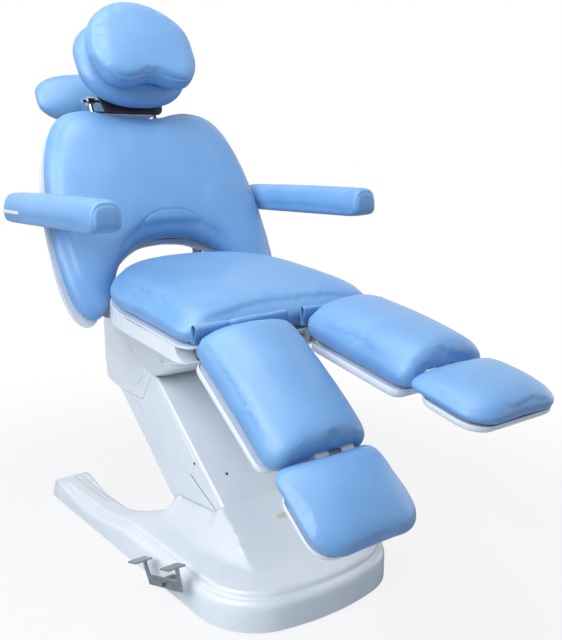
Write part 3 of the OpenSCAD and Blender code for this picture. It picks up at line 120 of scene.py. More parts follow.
def finish_of(name, **shader):
    """A new material whose Principled shader has these values. Returns it, its tree and its place."""
    material = bpy.data.materials.new(name)
    material.use_nodes = True
    tree = material.node_tree
    for key, value in shader.items():
        tree.nodes["Principled BSDF"].inputs[key.replace("_", " ")].default_value = value
    return material, tree, add(tree, "ShaderNodeTexCoord", out="Object")


def feed(material, **sockets):
    """Links sockets to the inputs of the material's Principled shader, and returns the material."""
    tree = material.node_tree
    for key, socket in sockets.items():
        tree.links.new(socket, tree.nodes["Principled BSDF"].inputs[key.replace("_", " ")])
    return material


MULTIPLY = {"data_type": "RGBA", "blend_type": "MULTIPLY"}
MIXED_COLOUR = 2
print("material helpers ready")

# %% [markdown]
# ## The upholstery vinyl
# The covers are PVC-coated knitted cloth, embossed with a fine leather grain and left satin. It
# gives the eye a soft, broad highlight, a body colour of sky blue and a slightly deeper blue
# where it rolls under. Real grain is about 0.8 mm across, which is under half a pixel here, so
# it is drawn at 2.5 mm and kept shallow. A slow noise stands for the uneven pull of the foam.

# %% Make the vinyl
GRAIN_MM, PULL_MM = 2.5, 90


def upholstery_vinyl():
    """Body colour from slow noise with painted shade in the grain's pores, roughness from the grain, bump
    from grain and pull.
    """
    material, tree, place = finish_of("coated_vinyl_sky_blue", Roughness=0.42, IOR=1.58,
                                      Coat_Weight=0.35, Coat_Roughness=0.45,
                                      Sheen_Weight=0.05, Sheen_Roughness=0.5)
    grain = add(tree, "ShaderNodeTexVoronoi", {"feature": "DISTANCE_TO_EDGE"}, Vector=place,
                Scale=1 / (GRAIN_MM * MM), Randomness=0.9)
    pores = add(tree, "ShaderNodeTexNoise", Vector=place, Scale=1 / (0.5 * GRAIN_MM * MM), Detail=2.0)
    pull = add(tree, "ShaderNodeTexNoise", Vector=place, Scale=1 / (PULL_MM * MM), Detail=3.0)
    blue = add(tree, "ShaderNodeValToRGB", Fac=pull,
               stops=[(0.3, "#669bd1"), (0.5, "#6b9fd4"), (0.7, "#71a5d8")])
    # Painted shade: the colour is darkened a little where the pores sink into the bump
    pore_painted_shade = add(tree, "ShaderNodeValToRGB", Fac=pores, stops=[(0.35, "#b9cbe0"), (0.65, "#ffffff")])
    low_pores = add(tree, "ShaderNodeMapRange", Value=pores, To_Min=0.0, To_Max=0.3)
    leather = add(tree, "ShaderNodeMath", {"operation": "MULTIPLY_ADD"}, _0=grain, _1=0.7, _2=low_pores)
    fine = add(tree, "ShaderNodeBump", Height=leather, Distance=0.35 * MM, Strength=0.55)
    return feed(material,
                Base_Color=add(tree, "ShaderNodeMix", MULTIPLY, MIXED_COLOUR, _0=0.10, _6=blue, _7=pore_painted_shade),
                Roughness=add(tree, "ShaderNodeMapRange", Value=grain, To_Min=0.46, To_Max=0.36),
                Normal=add(tree, "ShaderNodeBump", Height=pull, Distance=2.0 * MM, Strength=0.35,
                           Normal=fine))


VINYL = upholstery_vinyl()
print("finish", VINYL.name)

# %% [markdown]
# ## The moulded white plastic
# The covers and trays are vacuum-formed ABS with a gloss cap layer. It looks clean white with
# sharp, small highlights, and it waves a little over large faces because the sheet cools
# unevenly. Fine dust specks and a trace of ageing keep the white from being one flat value.

# %% Make the moulded plastic
WAVE_MM, SPECK_MM = 140, 6


def moulded_plastic():
    """Near white from slow ageing noise, gloss with a clear coat, and a very long shallow wave."""
    material, tree, place = finish_of("moulded_abs_gloss_white", Roughness=0.24, IOR=1.53,
                                      Coat_Weight=0.35, Coat_Roughness=0.08)
    wave = add(tree, "ShaderNodeTexNoise", Vector=place, Scale=1 / (WAVE_MM * MM), Detail=2.0)
    specks = add(tree, "ShaderNodeTexNoise", Vector=place, Scale=1 / (SPECK_MM * MM), Detail=4.0)
    aged = add(tree, "ShaderNodeValToRGB", Fac=wave, stops=[(0.3, "#dee6ee"), (0.7, "#e5ecf2")])
    dust = add(tree, "ShaderNodeValToRGB", Fac=specks, stops=[(0.28, "#dcdde2"), (0.42, "#ffffff")])
    return feed(material,
                Base_Color=add(tree, "ShaderNodeMix", MULTIPLY, MIXED_COLOUR, _0=0.08, _6=aged, _7=dust),
                Roughness=add(tree, "ShaderNodeMapRange", Value=specks, To_Min=0.2, To_Max=0.3),
                Normal=add(tree, "ShaderNodeBump", Height=wave, Distance=1.2 * MM, Strength=0.25))


PLASTIC = moulded_plastic()
print("finish", PLASTIC.name)

# %% [markdown]
# ## Metals and the small finishes
# The frame is mild steel with a grey powder coat, which dries into a fine orange peel. Pins are
# zinc plated, the head bars and rams are chromed tube, and the foot pedal is brushed stainless
# sheet. The rest is black moulded nylon, feet of rubber, birch plywood boards and a bare label.

# %% Make the metals and small finishes
PEEL_MM, PAINT_MM, SCRATCH_MM, WOOD_MM = 2, 60, 2, 9


def powder_coat(name, low, high, roughness):
    """Paint over steel: two close greys in a slow noise, with an orange peel over them."""
    material, tree, place = finish_of(name, Roughness=roughness, IOR=1.5)
    peel = add(tree, "ShaderNodeTexNoise", Vector=place, Scale=1 / (PEEL_MM * MM), Detail=2.0)
    slow = add(tree, "ShaderNodeTexNoise", Vector=place, Scale=1 / (PAINT_MM * MM), Detail=3.0)
    return feed(material,
                Base_Color=add(tree, "ShaderNodeValToRGB", Fac=slow, stops=[(0.35, low), (0.65, high)]),
                Roughness=add(tree, "ShaderNodeMapRange", Value=slow,
                              To_Min=roughness - 0.06, To_Max=roughness + 0.08),
                Normal=add(tree, "ShaderNodeBump", Height=peel, Distance=0.3 * MM, Strength=0.4))


def drawn_out(name, stops, rough, stretch, line_mm, depth_mm, strength, detail=3.0, warp=0.0, **shader):
    """Brushed metal or wood: one noise, drawn out along a direction, gives colour, roughness and bump."""
    material, tree, place = finish_of(name, **shader)
    drawn = add(tree, "ShaderNodeMapping", Vector=place, Scale=stretch)
    lines = add(tree, "ShaderNodeTexNoise", Vector=drawn, Scale=1 / (line_mm * MM), Detail=detail,
                Distortion=warp)
    return feed(material,
                Base_Color=add(tree, "ShaderNodeValToRGB", Fac=lines, stops=stops),
                Roughness=add(tree, "ShaderNodeMapRange", Value=lines, To_Min=rough[0], To_Max=rough[1]),
                Normal=add(tree, "ShaderNodeBump", Height=lines, Distance=depth_mm * MM, Strength=strength))


def bare_metal(name, low, high, roughness, stretch):
    """Polished or brushed metal, with fine scratches."""
    return drawn_out(name, [(0.3, low), (0.7, high)], (0.7 * roughness, 1.3 * roughness), stretch,
                     SCRATCH_MM, 0.1, 0.3, Metallic=1.0)


STEEL = powder_coat("powder_coated_steel_grey", "#83888f", "#8f949b", 0.45)
BLACK = powder_coat("moulded_nylon_black", "#232528", "#2d3034", 0.5)
RUBBER = powder_coat("foot_rubber_black", "#1a1b1c", "#252627", 0.8)
LABEL = powder_coat("bare_label_film", "#c9ccb9", "#d6d9c8", 0.4)
THREAD = powder_coat("sewing_thread_blue", "#4f83c4", "#5a8ecd", 0.6)
PIN = bare_metal("zinc_plated_steel", "#9c9fa3", "#bcbfc2", 0.3, (0.3, 1, 1))
CHROME = bare_metal("chromed_steel_tube", "#c9ccd0", "#dfe1e3", 0.1, (1, 1, 0.2))
STAINLESS = bare_metal("brushed_stainless_sheet", "#7c8687", "#9aa3a3", 0.3, (1, 0.06, 1))
PLYWOOD = drawn_out("birch_plywood", [(0.3, "#a98252"), (0.5, "#c9a673"), (0.7, "#d8bb8b")], (0.5, 0.7),
                    (1, 0.08, 1), WOOD_MM, 0.3, 0.4, detail=5.0, warp=0.6, IOR=1.45)
FINISHES = {"vinyl": VINYL, "moulded_shell": PLASTIC, "painted_steel": STEEL, "pin_steel": PIN,
            "bright_steel": CHROME, "pedal_steel": STAINLESS, "black_plastic": BLACK, "foot_rubber": RUBBER,
            "plywood": PLYWOOD, "bare_label": LABEL}
print("finishes", sorted(m.name for m in FINISHES.values()))

# %% [markdown]
# ## Give each CAD node the finish its record names
# Most of the mechanism is right as it is, so it keeps its shape and only changes material. The
# record says which slot each node takes.

# %% Dress the CAD nodes
slot_of = {row["node"]: row["material_slot"] for row in frame["record"]["subparts"]}
for node, solid in frame["nodes"].items():
    finish = FINISHES[slot_of.get(node, "painted_steel")]
    if solid.material_slots:
        for place in solid.material_slots:
            place.material = finish
    else:
        solid.data.materials.append(finish)
print("dressed", len(slot_of), "nodes by their slots")

# %% [markdown]
# ## Helpers for surfaces
# Every new piece is worked out in millimetres as an array of points. A place is a 4 by 4 matrix
# that carries a piece's own drawing to where it sits on the chair: the seat, the back and the
# leg rests each lean about the chair's cross axis, so a place is a shift and a turn about X.

# %% Places and outlines
def shift(x, y, z):
    """A move by x, y, z millimetres."""
    m = np.eye(4)
    m[:3, 3] = x, y, z
    return m


def lean(degrees):
    """A turn about the cross axis: y' = y cos a - z sin a and z' = y sin a + z cos a."""
    c, s = np.cos(np.radians(degrees)), np.sin(np.radians(degrees))
    m = np.eye(4)
    m[1:3, 1:3] = [[c, -s], [s, c]]
    return m


def put(points, place):
    """Points in a piece's own drawing, carried to the chair."""
    return np.asarray(points, float) @ place[:3, :3].T + place[:3, 3]


def taken_back(points, place):
    """Points on the chair, told in the piece's own drawing."""
    return (np.asarray(points, float) - place[:3, 3]) @ place[:3, :3]


# Each body's own drawing at rest: where its hinge is, and how far it leans
IN_SEAT = shift(0, -190, 624) @ lean(5)
IN_BACK = shift(0, 310, 793) @ lean(-27.2)
IN_HEAD = shift(0, 437.8, 1229.9) @ lean(-30)
PIVOT_Z, ARM_LEN, ARM_TILT = 97, 553, 39
IN_ARM = shift(0, 0, PIVOT_Z) @ lean(ARM_TILT)
STAND_UP = lean(90)
SIDEWAYS = np.array([[0, 0, 1, 0], [1, 0, 0, 0], [0, 1, 0, 0], [0, 0, 0, 1.0]])
LEG_X, LEG_Y, LEG_Z = 146, -205, 640
LEG_PITCH = {-1: 35.3, 1: 9.6}
CALF_LEN, FOOT_AXIS_DROP, FOOT_FOLD = 329, 2, 1.7
SIDE_NAME = {-1: "right", 1: "left"}


def mirrored(side):
    """Turns a drawing of the left side into one of the given side."""
    return np.diag([side, 1, 1, 1.0])


def in_leg(side):
    """The leg rest's hinge line, pitched as in the photograph. side is -1 on the sitter's right."""
    return shift(side * LEG_X, LEG_Y, LEG_Z) @ lean(LEG_PITCH[side])


def in_foot(side):
    """The foot rest's hinge line, at the end of the calf rest."""
    return in_leg(side) @ shift(0, -CALF_LEN, FOOT_AXIS_DROP) @ lean(FOOT_FOLD)


def ease(n):
    """n + 1 numbers from 0 to 1, closer at both ends: (1 - cos(pi i / n)) / 2."""
    return (1 - np.cos(np.pi * np.arange(n + 1) / n)) / 2


def smooth_line(stops, x):
    """A smooth line through (place, value) stops: cubic pieces, and the slope at a stop is that of
    the line between its two neighbours."""
    p = np.array(stops, float)
    slope = np.gradient(p[:, 1], p[:, 0])
    slope[1:-1] = (p[2:, 1] - p[:-2, 1]) / (p[2:, 0] - p[:-2, 0])
    k = np.clip(np.searchsorted(p[:, 0], x, side="left") - 1, 0, len(p) - 2)
    w = p[k + 1, 0] - p[k, 0]
    t = np.clip((x - p[k, 0]) / w, 0, 1)
    return (p[k, 1] * (1 + 2 * t) * (1 - t) ** 2 + p[k + 1, 1] * t * t * (3 - 2 * t)
            + w * slope[k] * t * (1 - t) ** 2 - w * slope[k + 1] * t * t * (1 - t))


def box(x0, y0, x1, y1):
    """The four corners of an upright rectangle."""
    return [[x0, y0], [x1, y0], [x1, y1], [x0, y1]]


def rounded(corners, radii, steps=6):
    """A closed outline whose corners are arcs: each corner is cut back by r tan(half turn) and
    bridged by a circle, drawn as a rational curve."""
    c = np.array(corners, float)
    r = np.broadcast_to(np.array(radii, float), (len(c),))
    back, on = np.roll(c, 1, 0) - c, np.roll(c, -1, 0) - c
    reach_b, reach_o = np.linalg.norm(back, axis=1), np.linalg.norm(on, axis=1)
    back, on = back / reach_b[:, None], on / reach_o[:, None]
    half = np.arccos(np.clip((back * on).sum(1), -1, 1)) / 2
    cut = np.minimum(r / np.tan(half), 0.49 * np.minimum(reach_b, reach_o))
    t = np.linspace(0, 1, steps + 1)[None, :, None]
    a, b = (c + back * cut[:, None])[:, None], (c + on * cut[:, None])[:, None]
    tip = c[:, None]
    w = np.sin(half)[:, None, None]
    bottom = (1 - t) ** 2 + 2 * w * t * (1 - t) + t ** 2
    return (((1 - t) ** 2 * a + 2 * w * t * (1 - t) * tip + t ** 2 * b) / bottom).reshape(-1, 2)


def closed(ring):
    """A ring with its first point again at its end."""
    return np.vstack([ring, ring[:1]])


def run_along(path):
    """How far along a path each of its points is."""
    return np.concatenate([[0], np.cumsum(np.linalg.norm(np.diff(path, axis=0), axis=1))])


def evenly(outline, count):
    """The same closed outline with count points at equal distances along it."""
    p = closed(outline)
    run = run_along(p)
    at = np.linspace(0, run[-1], count, endpoint=False)
    return np.stack([np.interp(at, run, p[:, 0]), np.interp(at, run, p[:, 1])], 1)


def between_lines(low, high, half_w, steps):
    """The closed outline between a lower and an upper line over x, from -half_w to half_w."""
    across = half_w * (2 * ease(steps) - 1)
    there, back = np.column_stack([across, low(across)]), np.column_stack([across, high(across)])[::-1]
    return np.concatenate([there, back])


def drawn_in(outline, amount):
    """A closed outline moved inwards by amount along its normals, whichever way round it runs."""
    along = np.roll(outline, -1, 0) - np.roll(outline, 1, 0)
    along /= np.maximum(np.linalg.norm(along, axis=1), 1e-9)[:, None]
    inward = np.stack([-along[:, 1], along[:, 0]], 1)
    x, y = outline[:, 0], outline[:, 1]
    turn = np.sign(np.sum(x * np.roll(y, -1) - np.roll(x, -1) * y))
    return outline + amount * turn * inward


print("places ready")

# %% [markdown]
# ## Helpers for meshes
# A piece is either a loft, which is a stack of closed rings joined by four-sided faces, or a
# sheet, which is a grid of points. Both go into the mesh as whole arrays. The last helper puts
# the piece on its body and gives it its finish.

# %% Mesh helpers
def piece_from(name, points, faces, finish, body, smooth=40, outward=True):
    """Puts points in millimetres and lists of faces into a mesh, joins its doubles and turns its
    faces outwards. A piece without a body isn't declared yet."""
    mesh = bpy.data.meshes.new(name)
    mesh.from_pydata((np.asarray(points).reshape(-1, 3) * MM).tolist(), [], faces)
    edit = bmesh.new()
    edit.from_mesh(mesh)
    bmesh.ops.remove_doubles(edit, verts=edit.verts, dist=1e-6)
    if outward:
        bmesh.ops.recalc_face_normals(edit, faces=edit.faces)
    edit.to_mesh(mesh)
    edit.free()
    shade(mesh, smooth)
    piece = bpy.data.objects.new(name, mesh)
    bpy.context.scene.collection.objects.link(piece)
    mesh.materials.append(finish)
    if body:
        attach(piece, body)
    return piece


def shade(mesh, angle):
    """Smooth shading, with edges kept sharp past the angle."""
    mesh.polygons.foreach_set("use_smooth", np.ones(len(mesh.polygons), bool))
    mesh.set_sharp_from_angle(angle=np.radians(angle))


def grid_faces(rows, cols, round_cols=False, first=0):
    """Four-sided faces of a grid whose points run row by row. A round grid joins the last point of
    each row to its first."""
    i, j = np.meshgrid(np.arange(rows - 1), np.arange(cols if round_cols else cols - 1), indexing="ij")
    here, beside = i * cols + j, i * cols + (j + 1) % cols
    return (np.stack([here, beside, beside + cols, here + cols], -1).reshape(-1, 4) + first).tolist()


def loft(rings, capped=True):
    """Closed rings (ring, point, xyz) joined in order, with one flat face over each end, or a fan
    of triangles where the end isn't convex."""
    k, n, _ = rings.shape
    faces = grid_faces(k, n, round_cols=True)
    points = rings.reshape(-1, 3)
    if capped == "fan":
        points = np.vstack([points, rings[0].mean(0), rings[-1].mean(0)])
        faces += [[(i + 1) % n, i, k * n] for i in range(n)]
        faces += [[(k - 1) * n + i, (k - 1) * n + (i + 1) % n, k * n + 1] for i in range(n)]
    elif capped:
        faces += [list(range(n)), list(range((k - 1) * n, k * n))]
    return points, faces


def moulding(name, outline, section, place, body, finish=PLASTIC, capped=True):
    """A part moulded over an outline: section lists (how far the wall has drawn in, its height)."""
    rings = [np.column_stack([drawn_in(outline, inset), np.full(len(outline), height)])
             for inset, height in section]
    points, faces = loft(np.array(rings), capped)
    return piece_from(name, put(points, place), faces, finish, body)


def quarter(radius, steps=5):
    """Insets and drops of a rounded edge: r (1 - cos a) and r (1 - sin a) for a from 0 to a right angle."""
    a = np.linspace(0, np.pi / 2, steps + 1)
    return radius * (1 - np.sin(a)), radius * (1 - np.cos(a))


print("mesh helpers ready")

# %% [markdown]
# ## How a cushion is made
# A real cushion here is cut foam on a board, with a vinyl cover pulled over it and stapled
# below, so it is crowned, its edge is round, and its sides draw in between the corners. It
# starts as two grids that meet in the seam, a little smaller than the finished cushion. A cloth
# simulation with pressure then swells it, as the foam does, and a cap keeps every point near
# its start, because the foam behind the cover doesn't let it balloon.

# %% The cushion's form and its stuffing
def swell(t, power):
    """How far the cushion has risen at t between two edges: the root of 1 - |2t - 1| to a power."""
    return np.sqrt(np.maximum(0, 1 - np.abs(2 * t - 1) ** power))


def cushion_form(low, high, half_w, thick, seam, crown, top_power, under_power, cols, rows,
                 draw=3.0, end_power=None, end_crown=0.0):
    """Two grids over u across and v along. The upper one stands at
    seam + (thick - seam) swell(u) swell(v), plus the crown's two parabolas, and the lower one at
    seam (1 - swell(u) swell(v)). draw makes the form smaller all round, end_power makes its two
    ends blunter than its sides, and end_crown is how much of the crown stays at the ends."""
    end_power = end_power or top_power
    u, v = np.meshgrid(ease(cols), ease(rows), indexing="ij")
    x = half_w * (2 * u - 1)
    lo, hi = low(x), high(x)
    middle, half = (lo + hi) / 2, (hi - lo) / 2
    y = middle + (half - np.minimum(draw, 0.4 * half)) * (2 * v - 1)
    x = x * (half_w - draw) / half_w
    along = (1 - end_crown) * (1 - (2 * v - 1) ** 2) + end_crown * swell(v, end_power)
    dome = (1 - (2 * u - 1) ** 2) * along
    upper = seam + (thick - seam) * swell(u, top_power) * swell(v, end_power) + crown * dome
    under = seam * (1 - swell(u, under_power) * swell(v, under_power))
    points = np.concatenate([np.stack([x, y, z], -1).reshape(-1, 3) for z in (upper, under)])
    faces = grid_faces(cols + 1, rows + 1) + grid_faces(cols + 1, rows + 1, first=(cols + 1) * (rows + 1))
    return points, faces


def corner_rise(x, half_w, r):
    """How far a corner of radius r has drawn the edge in at x."""
    over = np.clip(np.abs(x) - (half_w - r), 0, r)
    return r - np.sqrt(np.maximum(0, r * r - over ** 2))


def coordinates(mesh):
    """All of a mesh's points as one array."""
    co = np.empty(len(mesh.vertices) * 3, np.float32)
    mesh.vertices.foreach_get("co", co)
    return co.reshape(-1, 3).astype(float)


def shown_mesh(piece):
    """A copy of a piece's mesh with its modifiers applied."""
    return bpy.data.meshes.new_from_object(piece.evaluated_get(bpy.context.evaluated_depsgraph_get()))


def take_mesh(piece, mesh):
    """Gives a piece a finished mesh, and clears the modifiers that made it."""
    finish = piece.data.materials[0]
    piece.modifiers.clear()
    piece.data = mesh
    mesh.materials.clear()
    mesh.materials.append(finish)
    mesh.polygons.foreach_set("material_index", np.zeros(len(mesh.polygons), np.int32))
    shade(mesh, 60)


def carve(piece, cutters):
    """Cuts closed (points, faces) shapes out of a piece, to make room for hinges and knuckles."""
    for number, (points, faces) in enumerate(cutters):
        tool = piece_from(f"cutter_{number}", points, faces, PLASTIC, None)
        cut = piece.modifiers.new("cut", "BOOLEAN")
        cut.operation, cut.solver, cut.object = "DIFFERENCE", "EXACT", tool
        take_mesh(piece, shown_mesh(piece))
        bpy.data.objects.remove(tool)


def stuff(piece, voxel=6.0, cap=7.0, pressure=4.0, steps=20):
    """Remeshes the piece evenly and swells it with cloth pressure and no gravity. A point moves at
    most the cap. A seventh of a move inwards is kept, because the foam stands in its way, and a
    third of a move along the cover."""
    remesh = piece.modifiers.new("even", "REMESH")
    remesh.mode, remesh.voxel_size = "VOXEL", voxel * MM
    take_mesh(piece, shown_mesh(piece))
    before = coordinates(piece.data)
    cloth = piece.modifiers.new("cover", "CLOTH")
    cloth.settings.quality = 4
    cloth.settings.use_pressure = True
    cloth.settings.uniform_pressure_force = pressure
    cloth.settings.tension_stiffness = cloth.settings.compression_stiffness = 12
    cloth.settings.bending_stiffness = 0.6
    cloth.settings.effector_weights.gravity = 0
    cloth.point_cache.frame_start, cloth.point_cache.frame_end = 1, steps
    for step in range(1, steps + 1):
        bpy.context.scene.frame_set(step)
    after = shown_mesh(piece)
    move = coordinates(after) - before
    outward = np.empty(3 * len(before), np.float32)
    piece.data.vertex_normals.foreach_get("vector", outward)
    outward = outward.reshape(-1, 3)
    along = (move * outward).sum(1, keepdims=True)
    move = (move - along * outward) / 3 + np.where(along > 0, along, along / 7) * outward
    far = np.linalg.norm(move, axis=1)
    move *= (cap * MM * np.tanh(far / (cap * MM)) / np.maximum(far, 1e-9))[:, None]
    take_mesh(piece, after)
    piece.data.vertices.foreach_set("co", (before + move).astype(np.float32).ravel())
    bpy.context.scene.frame_set(1)
    finer = piece.modifiers.new("finer", "SUBSURF")
    finer.levels = finer.render_levels = 1
    take_mesh(piece, shown_mesh(piece))


def cushion(name, body, place, form, cutters=(), voxel=6.0, cap=7.0, replaces=None):
    """Makes, carves, stuffs and declares one cushion."""
    points, faces = form
    piece = piece_from(name, put(points, place), faces, VINYL, None, smooth=60)
    carve(piece, cutters)
    stuff(piece, voxel, cap)
    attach(piece, body)
    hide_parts(replaces)
    print(name, len(piece.data.vertices), "points")
    return piece


def slab(outline, x0, x1):
    """A side view in Y and Z, made solid from x0 to x1, as (points, faces)."""
    outline = np.array(outline, float)
    return loft(np.array([np.column_stack([np.full(len(outline), x), outline]) for x in (x0, x1)]))


def rod(radius, x0, x1, y=0.0, z=0.0, sides=32):
    """A closed rod along X, as (points, faces) in a piece's own drawing."""
    turn = np.linspace(0, 2 * np.pi, sides, endpoint=False)
    return slab(np.column_stack([y + radius * np.cos(turn), z + radius * np.sin(turn)]), x0, x1)


def placed(shape, place):
    """A (points, faces) shape carried to its place."""
    return put(shape[0], place), shape[1]


print("cushion helpers ready")

# %% [markdown]
# ## Seams
# Two panels of vinyl are sewn face to face and turned, which leaves a narrow valley with the
# stitches beside it. The valley is pressed into the finished cushion, so that it is real shape,
# and a row of short stitches lies along it. The path is drawn flat and then laid on the surface.

# %% Seam helpers
def near_path(points, path):
    """How far from each point the nearest place on a path is, in the drawing's plane."""
    starts, ends = path[:-1], path[1:]
    span = ends - starts
    length = np.maximum((span ** 2).sum(1), 1e-9)
    best = np.full(len(points), 1e9)
    for chunk in np.array_split(np.arange(len(points)), max(1, len(points) // 4000)):
        away = points[chunk][:, None] - starts[None]
        t = np.clip((away * span).sum(2) / length, 0, 1)
        best[chunk] = np.sqrt(((away - t[..., None] * span) ** 2).sum(2)).min(1)
    return best


def press_seam(piece, place, path, depth=1.6, width=3.2, front=0.0):
    """Presses a valley into a cushion along a flat path: depth times exp(-(distance / width)^2),
    along the drawing's height, where the cushion is higher than front."""
    co = taken_back(coordinates(piece.data) / MM, place)
    facing = co[:, 2] > front
    sink = np.zeros(len(co))
    sink[facing] = depth * np.exp(-(near_path(co[facing, :2], np.asarray(path, float)) / width) ** 2)
    co[:, 2] -= sink
    piece.data.vertices.foreach_set("co", (put(co, place) * MM).astype(np.float32).ravel())


def laid_on(piece, place, path, lift, front):
    """The path's points with the cushion's height under each: the mean of its four nearest points."""
    co = taken_back(coordinates(piece.data) / MM, place)
    co = co[co[:, 2] > front]
    away = ((path[:, None] - co[None, :, :2]) ** 2).sum(2)
    nearest = np.argpartition(away, 4, axis=1)[:, :4]
    return np.column_stack([path, co[nearest, 2].mean(1) + lift])


STITCH, STITCH_GAP, THREAD_R, THREAD_SIDES = 5.0, 2.0, 0.6, 6
# How thick a stitch is at its four rings: it dives into the cover at both ends
STITCH_SHAPE = np.array([0.35, 1.0, 1.0, 0.35])


def stitches(name, piece, place, path, body, front=0.0):
    """Short thread tubes laid end to end along a path on a cushion, each a few dozen faces."""
    path = np.asarray(path, float)
    run = run_along(path)
    starts = np.arange(0, run[-1] - STITCH, STITCH + STITCH_GAP)
    at = starts[:, None] + np.linspace(0, STITCH, 4)[None]
    flat = np.stack([np.interp(at, run, path[:, 0]), np.interp(at, run, path[:, 1])], -1)
    on = laid_on(piece, place, flat.reshape(-1, 2), 0.2, front).reshape(len(starts), 4, 3)
    along = on[:, -1] - on[:, 0]
    along /= np.linalg.norm(along, axis=1)[:, None]
    over = np.array([0, 0, 1.0])
    side = np.cross(along, over)
    turn = np.linspace(0, 2 * np.pi, THREAD_SIDES, endpoint=False)
    ring = side[:, None] * np.cos(turn)[None, :, None] + over * np.sin(turn)[None, :, None]
    points = on[:, :, None] + (THREAD_R * STITCH_SHAPE)[None, :, None, None] * ring[:, None]
    quads = np.array(grid_faces(4, THREAD_SIDES, round_cols=True))
    ends = np.arange(THREAD_SIDES) + np.array([[0], [3 * THREAD_SIDES]])
    base = 4 * THREAD_SIDES * np.arange(len(starts))[:, None, None]
    faces = (quads[None] + base).reshape(-1, 4).tolist()
    faces += (ends[None] + base).reshape(-1, THREAD_SIDES).tolist()
    return piece_from(name, put(points.reshape(-1, 3), place), faces, THREAD, body)


print("seam helpers ready")

# %% [markdown]
# ## The seat cushion
# The seat is widest at the hips and its rear edge is a half round that tucks under the arch of
# the back. Its front edge is straight with rounded corners. The foam is thick and firm, so the
# top is only slightly crowned and the front edge rolls over in a large radius.

# %% Make the seat cushion
SEAT_HALF_W, SEAT_LEN, SEAT_STRAIGHT, SEAT_CORNER, SEAT_THICK = 285, 533, 275, 45, 81


def seat_low(x):
    """The front edge, straight between two round corners."""
    return corner_rise(x, SEAT_HALF_W, SEAT_CORNER)


def seat_high(x):
    """Where the straight sides end, plus the rear's half round: (1 - share^2.2)^0.455 of the rest."""
    share = np.clip(np.abs(x) / SEAT_HALF_W, 0, 1)
    return SEAT_STRAIGHT + (SEAT_LEN - SEAT_STRAIGHT) * np.maximum(0, 1 - share ** 2.2) ** 0.455


cushion("seat_cushion_cover", "seat", IN_SEAT,
        cushion_form(seat_low, seat_high, SEAT_HALF_W, SEAT_THICK, seam=28, crown=14, top_power=4.5,
                     under_power=16, cols=72, rows=72, draw=2.5),
        voxel=7, cap=8, replaces="seat_cushion")

# %% [markdown]
# ## The back cushion
# The back has two shoulders, a shallow dip for the neck, and two long lobes that reach down
# beside the seat. Between the lobes an arch leaves the lower back open. Its outline is two
# smooth lines over the half width, the same for both sides. A half round seam above the arch
# joins the panel that is pulled into it.

# %% Make the back cushion
BACK_HALF_W, BACK_TOP, BACK_LOBE, BACK_THICK = 333, 385, 198, 74
ARCH_HALF_W, ARCH_FOOT, ARCH_RISE = 128, -52, 126
# (share of the half width, share of the height over the hinge) along the shoulders
TOP_STOPS = [[0, 0.956], [0.21, 0.974], [0.35, 1.0], [0.475, 1.01], [0.62, 0.99], [0.72, 0.945],
             [0.79, 0.875], [0.855, 0.765], [0.905, 0.63], [0.945, 0.46], [0.975, 0.27], [1, 0]]
# (share of the half width, share of the lobes' length) along the arch and round a lobe
LOW_STOPS = [[0, 0.03], [0.2, 0], [0.306, -0.06], [0.444, -0.205], [0.52, -0.335], [0.62, -0.57],
             [0.7, -0.8], [0.77, -0.935], [0.84, -0.975], [0.91, -0.88], [0.95, -0.72],
             [0.98, -0.46], [1, -0.1]]


def back_top(x, half_w):
    """The shoulders' edge, as a smooth line over the half width."""
    return BACK_TOP * smooth_line(TOP_STOPS, np.minimum(1, np.abs(x) / half_w))


def back_under(x, half_w):
    """The edge of the arch and of the lobes, as a smooth line over the half width."""
    return BACK_LOBE * smooth_line(LOW_STOPS, np.minimum(1, np.abs(x) / half_w))


BACK_FACE = IN_BACK @ shift(0, BACK_THICK, 0) @ STAND_UP
back_cushion = cushion("back_cushion_cover", "back", BACK_FACE,
                       cushion_form(lambda x: back_under(x, BACK_HALF_W), lambda x: back_top(x, BACK_HALF_W),
                                    BACK_HALF_W, BACK_THICK - 3, seam=33, crown=12, top_power=5,
                                    under_power=12, cols=96, rows=64, draw=2.5),
                       voxel=7, cap=8, replaces="back_cushion")
arch_share = np.linspace(-1, 1, 81)
arch_rise = np.sqrt(np.maximum(0, 1 - np.abs(arch_share) ** 2.3))
arch_seam = np.column_stack([ARCH_HALF_W * arch_share, ARCH_FOOT + ARCH_RISE * arch_rise])
press_seam(back_cushion, BACK_FACE, arch_seam, depth=1.8, width=3.4, front=35)
# The stitches run 5 mm under the valley, and stop where the seam goes behind the seat
arch_thread = arch_seam[3:-3] * [0.97, 1] - [0, 5]
stitches("back_arch_stitches", back_cushion, BACK_FACE, arch_thread, "back", front=35)

# %% [markdown]
# ## The head cushion, the neck pillow and the rear pad
# The head cushion is a thick oval. A kidney-shaped neck pillow is strapped to its front: its
# face panel and a side band meet in two seams that run parallel round it, and its lower edge
# has a notch for the neck. A wide oval pad sits behind the head on two flat steel arms.

# %% Make the three pads round the head
HEAD_HALF_W, HEAD_LEN, HEAD_THICK, HEAD_LOW, HEAD_BACK = 168, 270, 90, -70, 124.6
PILLOW_HALF_W, PILLOW_H, PILLOW_LOW, PILLOW_DROP, PILLOW_THICK = 162, 209, -24, 25, 58
REAR_HALF_W, REAR_LEN, REAR_THICK, REAR_BACK, REAR_RISE = 200, 164, 80, 259, 136


def oval(x, half, power):
    """Height share of an oval of that power at x."""
    return np.maximum(0, 1 - np.minimum(1, np.abs(x) / half) ** power) ** (1 / power)


